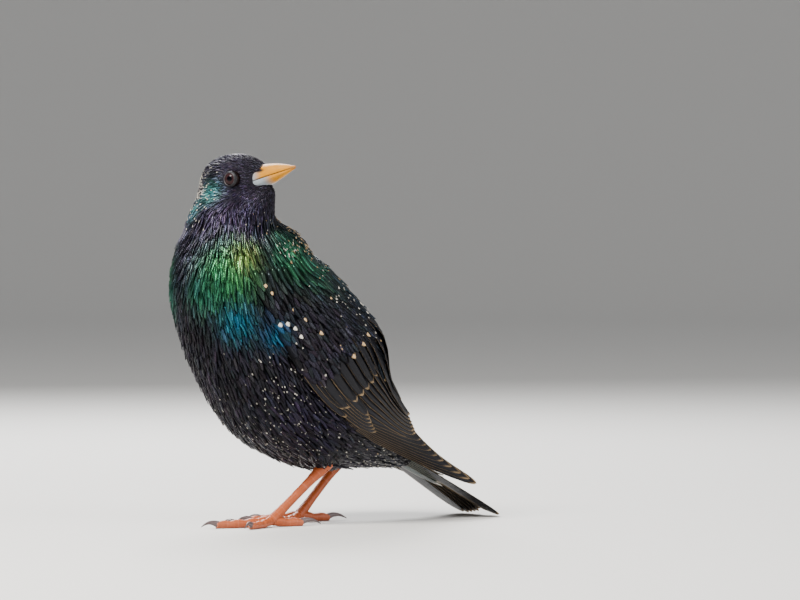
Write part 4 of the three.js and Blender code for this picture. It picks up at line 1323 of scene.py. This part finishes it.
def build_eyeball(name, hand, material):
    """A sphere of rings round the way that the eye looks, out to the head's side and a little forward."""
    theta = np.linspace(0.02, math.pi - 0.02, 40)[:, None]
    phi = np.arange(48)[None, :] / 48 * 2 * math.pi
    r = EYE["radius"]
    ahead = np.cos(theta) * math.sin(GAZE_TURN) + np.sin(theta) * np.cos(phi) * math.cos(GAZE_TURN)
    aside = np.cos(theta) * math.cos(GAZE_TURN) - np.sin(theta) * np.cos(phi) * math.sin(GAZE_TURN)
    rings = head_place(EYE["forward"] + r * ahead, hand * (EYE["out"] + r * aside),
                       EYE["up"] + r * np.sin(theta) * np.sin(phi))
    gaze = np.repeat(np.sin(theta[:, 0]), 48)
    eye = tubes_piece(f"eyeball_{name}", rings[None], None, {"Gaze": gaze})
    finish_piece(eye, material, "eye", f"eye_{name}")


def build_lid(name, hand, material):
    """A ring round the eye with a slanting oval section and a pale inner rim."""
    turn = np.arange(64)[:, None] / 64 * 2 * math.pi
    section = np.arange(16)[None, :] / 16 * 2 * math.pi
    ring = LID["ring"] + LID["half_width"] * np.cos(section) + LID["oval"] * np.cos(2 * turn)
    out = LID["out"] - LID["slant"] * np.cos(section) + LID["half_thick"] * np.sin(section)
    out = out - LID["lean"] * np.cos(turn)
    lid = head_place(EYE["forward"] + ring * np.cos(turn), hand * out, EYE["up"] + ring * np.sin(turn))
    closed = np.concatenate([lid, lid[:1]])[None]
    pale = np.tile(smoothstep(-0.80, -0.99, np.cos(section[0])), closed.shape[1])[:, None]
    tint = mix(BODY_INK * 0.5, LID_RIM, pale)
    finish_piece(tubes_piece(f"lid_{name}", closed, None, {"Tint": tint}), material, "plumage")


def build_eyes():
    """Both eyeballs and the lids round them. The head's own left is above zero, where LEFT is -1, so the sign
    of each side turns."""
    eye_look = eye_material()
    lid_look = bare_material("lid skin", 0.5, 0.3, 900.0)
    for name, side in SIDES.items():
        build_eyeball(name, -side, eye_look)
        build_lid(name, -side, lid_look)


def toe_heading(leg, side, k):
    """The way that a toe points on the floor."""
    angle = math.radians(leg["toes"][k]) * side
    return np.array([-math.cos(angle), math.sin(angle), 0.0])


def toe_path(leg, side, k):
    """A toe from the foot's middle to the claw's root, with pads that swell between its joints."""
    heading = toe_heading(leg, side, k)
    s = np.linspace(0, 1, 60)
    pads = TOE_JOINTS[k] + 1
    radius = TOE_RADII[k] * (1.12 - 0.26 * s) * (1 + 0.07 * np.cos(2 * math.pi * (s * pads - 0.5)))
    height = mix(FOOT_LIFT, radius * 0.95, np.minimum(1, s * 2.4))
    foot = np.array([*leg["foot"], 0.0])
    path = foot + heading * TOE_LENGTHS[k] * s[:, None] + height[:, None] * np.array([0.0, 0.0, 1.0])
    return path, radius, s


def scutes(radius, s, count, sides, top):
    """Plates on the half of a limb that starts at the angle top: the radius steps up at each plate and slopes
    down to its far edge."""
    angle = np.arange(sides) / sides * 2 * math.pi
    upper = smoothstep(-0.1, 0.5, np.sin(angle - top))
    phase = (s * count) % 1
    step = 0.06 * (1 - phase) - 0.05 * np.exp(-((phase - 0.02) / 0.06) ** 2)
    return radius[:, None] * (1 + step[:, None] * upper), np.repeat((1 - smoothstep(0.0, 0.16, phase)), sides)


def leg_tint(settings, groove, along):
    """Orange-red skin that pales along each plate's edge."""
    skin = np.array(settings.leg_colour)
    return mix(np.tile(skin, (len(groove), 1)), PLATE_EDGE, (0.35 * groove + 0.25 * along)[:, None])


def build_shank(name, leg, settings, material):
    """The shank from the foot's middle to the ankle, with plates on the side that faces the bird's right."""
    foot = np.array([*leg["foot"], FOOT_LIFT])
    ankle = np.array(leg["ankle"])
    radii = [SHANK["bottom"], SHANK["bottom"] * 0.86, SHANK["waist"], SHANK["waist"] * 1.05,
             SHANK["top"] * 0.9, SHANK["top"]]
    places = [[*mix(foot, ankle, k), r] for k, r in zip((-0.02, 0.12, 0.35, 0.7, 0.92, 1.06), radii)]
    path = rows_curve(places, np.linspace(0, 5, SHANK_RINGS))
    s = np.linspace(0, 1, SHANK_RINGS)
    radius, groove = scutes(path[:, 3], s, SHANK_PLATES, SHANK_SIDES, math.pi * 0.5)
    shank = tube(path[:, :3], radius, SHANK_SIDES)
    piece = tubes_piece(f"shank_{name}_skin", shank[None], None, {
        "Tint": leg_tint(settings, groove, np.repeat(0.3 * s, SHANK_SIDES))})
    finish_piece(piece, material, "leg", f"shank_{name}")


def build_foot(name, side, leg, settings, material):
    """Four toes as tubes with plates on top, pressed flat where they meet the floor."""
    toes, grooves, alongs = [], [], []
    for k in range(len(TOE_NAMES)):
        path, radius, s = toe_path(leg, side, k)
        radius, groove = scutes(radius, s, int(TOE_LENGTHS[k] * 0.75), TOE_SIDES, 0.0)
        rings = tube(path, radius, TOE_SIDES)
        rings[..., 2] = np.maximum(rings[..., 2], SOLE)
        toes.append(rings)
        grooves.append(groove)
        alongs.append(np.repeat(s, TOE_SIDES))
    piece = tubes_piece(f"foot_{name}_skin", np.stack(toes), None, {
        "Tint": leg_tint(settings, np.concatenate(grooves), np.concatenate(alongs))})
    finish_piece(piece, material, "leg", f"foot_{name}")


def build_claws(name, side, leg, settings, material):
    """The claws: each leaves its toe, arches by most of a half sine and falls by a parabola to a point."""
    s = np.linspace(0, 1, CLAW_RINGS)
    for k, toe in enumerate(TOE_NAMES):
        run = TOE_LENGTHS[k] - CLAW["overlap"] + CLAW_LENGTHS[k] * s
        height = CLAW["root"] + CLAW["arch"] * np.sin(math.pi * (s * 0.9)) - CLAW["drop"] * s * s
        flat = np.array([*leg["foot"], 0.0]) + toe_heading(leg, side, k) * run[:, None]
        path = flat + height[:, None] * np.array([0.0, 0.0, 1.0])
        radius = TOE_RADII[k] * CLAW["thick"] * (1 - CLAW["taper"] * s)
        rings = tube(path, radius, CLAW_SIDES, CLAW["squash"])
        shade = (1.25 - 0.5 * np.repeat(s, CLAW_SIDES))[:, None]
        tint = np.tile(settings.claw_colour, (CLAW_RINGS * CLAW_SIDES, 1)) * shade
        claw = tubes_piece(f"claw_{name}_{toe}_horn", rings[None], None, {"Tint": tint})
        finish_piece(claw, material, "claw", f"claw_{name}_{toe}")


def build_legs(settings):
    """Shanks, feet and claws of both legs."""
    skin = bare_material("leg skin", 0.42, 0.35, 700.0)
    horn = bare_material("claw horn", 0.3, 0.2, 500.0, 0.2)
    for name, side in SIDES.items():
        leg = LEGS[name]
        build_shank(name, leg, settings, skin)
        build_foot(name, side, leg, settings, skin)
        build_claws(name, side, leg, settings, horn)


def area_light(name, place, target, size, power, colour):
    """A soft square light that faces a target."""
    data = bpy.data.lights.new(name, "AREA")
    data.shape = "SQUARE"
    data.size = size
    data.energy = power
    data.color = colour
    lamp = bpy.data.objects.new(name, data)
    bpy.context.scene.collection.objects.link(lamp)
    look_at(lamp, place, target)


def look_at(thing, place, target):
    """Puts a camera or light at a place, facing a target, with its top up."""
    thing.location = place
    thing.rotation_euler = (Vector(target) - Vector(place)).to_track_quat("-Z", "Y").to_euler()


# The floor in metres: how far it is flat, the radius of its bend and the height of the wall
BOWL = {"flat": 2.6, "bend": 1.6, "wall": 0.8}


def floor_bowl():
    """The floor: a flat disc whose edge bends up in a quarter circle into a wall, so no horizon shows."""
    bend = np.linspace(0, math.pi / 2, 24)
    wall = BOWL["flat"] + BOWL["bend"]
    radius = np.concatenate([[0.3, 1.0, 2.0], BOWL["flat"] + BOWL["bend"] * np.sin(bend), [wall]])
    height = np.concatenate([[0, 0, 0], BOWL["bend"] * (1 - np.cos(bend)), [BOWL["bend"] + BOWL["wall"]]])
    sides = 96
    turn = np.arange(sides) / sides * 2 * math.pi
    rings = np.stack([radius[:, None] * np.cos(turn), radius[:, None] * np.sin(turn),
                      height[:, None] + 0 * turn], -1) / MM
    index = np.arange(rings.shape[0] * sides).reshape(-1, sides)
    nxt = np.roll(index, -1, axis=1)
    quads = np.stack([index[:-1], index[1:], nxt[1:], nxt[:-1]], -1).reshape(-1, 4)
    return make_mesh("floor", rings.reshape(-1, 3) - NUDGE * [1, 1, 0], [quads, index[:1]])


# The photograph's frame: its scale, and the pixel column and row of the bird's own x = 0 and of the floor
PIXELS_PER_MM = 2.6
FRAME_PIXELS = (800, 600)
ORIGIN_PIXEL = (300, 524)


# Lights in metres from the bird's middle: to the camera's right, towards the camera and up, with their size
# and their share of the main light's power
LIT_PLACE = np.array([0.0, 0.0, 0.08])
LIGHTS = {
    "key": {"right": -0.45, "toward": 0.55, "up": 0.75, "size": 0.35, "share": 1.0,
            "colour": (1, 0.97, 0.92)},
    "fill": {"right": 0.8, "toward": 0.5, "up": 0.3, "size": 0.7, "share": 0.25, "colour": (1, 1, 1)},
    "rim": {"right": -0.2, "toward": -0.7, "up": 0.6, "size": 0.5, "share": 0.6, "colour": (1, 1, 1)},
}


def build_stage(settings):
    """The floor, the lights, and the camera at the photograph's angle and framing."""
    azimuth, lift = settings.camera_azimuth, settings.camera_elevation
    right = np.array([math.cos(azimuth), math.sin(azimuth), 0.0])
    toward = np.array([
        math.sin(azimuth) * math.cos(lift),
        -math.cos(azimuth) * math.cos(lift),
        math.sin(lift),
    ])
    across = (FRAME_PIXELS[0] / 2 - ORIGIN_PIXEL[0]) / PIXELS_PER_MM
    height = (ORIGIN_PIXEL[1] - FRAME_PIXELS[1] / 2) / PIXELS_PER_MM
    target = (right * across + NUDGE + np.array([0.0, 0.0, height])) * MM
    frame_width = FRAME_PIXELS[0] / PIXELS_PER_MM * MM
    data = bpy.data.cameras.new("camera")
    data.sensor_width = 36.0
    data.lens = data.sensor_width * settings.camera_distance / frame_width
    camera = bpy.data.objects.new("camera", data)
    bpy.context.scene.collection.objects.link(camera)
    look_at(camera, target + toward * settings.camera_distance, target)
    bpy.context.scene.camera = camera

    floor = floor_bowl()
    material, _, _ = principled("pale floor", (0.72, 0.71, 0.69), 0.85)
    floor.data.materials.append(material)

    world = bpy.data.worlds.new("studio")
    world.use_nodes = True
    world.node_tree.nodes["Background"].inputs["Color"].default_value = (0.80, 0.82, 0.85, 1)
    world.node_tree.nodes["Background"].inputs["Strength"].default_value = settings.sky
    bpy.context.scene.world = world
    for name, lamp in LIGHTS.items():
        place = LIT_PLACE + right * lamp["right"] + toward * lamp["toward"] + [0, 0, lamp["up"]]
        area_light(name, place, LIT_PLACE, lamp["size"], settings.key * lamp["share"], lamp["colour"])


class StarlingCoatSettings(bpy.types.PropertyGroup):
    """Sizes and colours of the plumage."""
    skin_voxel: bpy.props.FloatProperty(
        name="Skin voxel", description="Grain of the skin's remesh",
        default=0.0009, subtype="DISTANCE", unit="LENGTH")
    gloss: bpy.props.FloatProperty(
        name="Gloss", description="Metal share of the body feathers",
        default=0.8, min=0, max=1, subtype="FACTOR")
    wing_colour: bpy.props.FloatVectorProperty(
        name="Wing", description="Dark part of the flight feathers",
        default=(0.005, 0.005, 0.008), subtype="COLOR")


class StarlingBareSettings(bpy.types.PropertyGroup):
    """Colours of the bill, the legs and the claws."""
    bill_colour: bpy.props.FloatVectorProperty(
        name="Bill", description="Yellow horn", default=(0.46, 0.185, 0.002), subtype="COLOR")
    bill_base_colour: bpy.props.FloatVectorProperty(
        name="Bill base", description="Blue-grey horn at the base",
        default=(0.22, 0.25, 0.28), subtype="COLOR")
    leg_colour: bpy.props.FloatVectorProperty(
        name="Legs", description="Skin of shanks and toes", default=(0.34, 0.066, 0.014), subtype="COLOR")
    claw_colour: bpy.props.FloatVectorProperty(
        name="Claws", description="Horn of the claws", default=(0.10, 0.07, 0.07), subtype="COLOR")


class StarlingStageSettings(bpy.types.PropertyGroup):
    """Camera and lights."""
    camera_azimuth: bpy.props.FloatProperty(
        name="Azimuth", description="Turn of the camera round the bird",
        default=math.radians(-36), subtype="ANGLE")
    camera_elevation: bpy.props.FloatProperty(
        name="Elevation", description="Height angle of the camera",
        default=math.radians(1.5), subtype="ANGLE")
    camera_distance: bpy.props.FloatProperty(
        name="Distance", description="From the camera to the bird",
        default=2.0, subtype="DISTANCE", unit="LENGTH")
    key: bpy.props.FloatProperty(
        name="Key", description="Power of the main light", default=26.0, unit="POWER")
    sky: bpy.props.FloatProperty(name="Sky", description="Strength of the light all round", default=0.45)


class STARLING_OT_skin(bpy.types.Operator):
    """Fuse the skin over body, head and thighs"""
    bl_idname = "starling.skin"
    bl_label = "Skin"

    def execute(self, context):
        build_skin(context.scene.starling_coat)
        return {"FINISHED"}


class STARLING_OT_coat(bpy.types.Operator):
    """Grow the feathers of the head and body"""
    bl_idname = "starling.coat"
    bl_label = "Coat"

    def execute(self, context):
        build_coat(context.scene.starling_coat)
        return {"FINISHED"}


class STARLING_OT_wings(bpy.types.Operator):
    """Build both folded wings"""
    bl_idname = "starling.wings"
    bl_label = "Wings"

    def execute(self, context):
        for name, side in SIDES.items():
            build_wing(name, side, context.scene.starling_coat)
            build_arm(name, side)
        return {"FINISHED"}


class STARLING_OT_tail(bpy.types.Operator):
    """Build the tail and its coverts"""
    bl_idname = "starling.tail"
    bl_label = "Tail"

    def execute(self, context):
        build_tail(context.scene.starling_coat)
        return {"FINISHED"}


class STARLING_OT_head_parts(bpy.types.Operator):
    """Build the bill, the eyes and the lids"""
    bl_idname = "starling.head_parts"
    bl_label = "Bill and eyes"

    def execute(self, context):
        build_bill(context.scene.starling_bare)
        build_eyes()
        return {"FINISHED"}


class STARLING_OT_legs(bpy.types.Operator):
    """Build shanks, toes and claws"""
    bl_idname = "starling.legs"
    bl_label = "Legs"

    def execute(self, context):
        build_legs(context.scene.starling_bare)
        return {"FINISHED"}


class STARLING_OT_stage(bpy.types.Operator):
    """Set the floor, the lights and the camera"""
    bl_idname = "starling.stage"
    bl_label = "Stage"

    def execute(self, context):
        build_stage(context.scene.starling_stage)
        return {"FINISHED"}


OPERATORS = [STARLING_OT_skin, STARLING_OT_coat, STARLING_OT_wings, STARLING_OT_tail,
             STARLING_OT_head_parts, STARLING_OT_legs, STARLING_OT_stage]


class STARLING_PT_panel(bpy.types.Panel):
    """Lists the starling's settings and the buttons that build its pieces"""
    bl_idname = "STARLING_PT_panel"
    bl_label = "Starling"
    bl_space_type = "VIEW_3D"
    bl_region_type = "UI"
    bl_category = "Starling"

    def draw(self, context):
        for group in (context.scene.starling_coat, context.scene.starling_bare, context.scene.starling_stage):
            box = self.layout.box()
            for key in group.bl_rna.properties.keys():
                if key not in ("rna_type", "name"):
                    box.prop(group, key)
        for operator in OPERATORS:
            self.layout.operator(operator.bl_idname)


GROUPS = {"starling_coat": StarlingCoatSettings, "starling_bare": StarlingBareSettings,
          "starling_stage": StarlingStageSettings}


def register():
    """Registers the settings, the operators and the panel."""
    for cls in [*GROUPS.values(), *OPERATORS, STARLING_PT_panel]:
        bpy.utils.register_class(cls)
    for key, cls in GROUPS.items():
        setattr(bpy.types.Scene, key, bpy.props.PointerProperty(type=cls))


def unregister():
    """Takes away what register added."""
    for key in GROUPS:
        delattr(bpy.types.Scene, key)
    for cls in reversed([*GROUPS.values(), *OPERATORS, STARLING_PT_panel]):
        bpy.utils.unregister_class(cls)


def main():
    """Builds every piece in order."""
    register()
    bpy.ops.starling.skin()
    bpy.ops.starling.coat()
    bpy.ops.starling.wings()
    bpy.ops.starling.tail()
    bpy.ops.starling.head_parts()
    bpy.ops.starling.legs()
    bpy.ops.starling.stage()


if __name__ == "__main__":
    main()
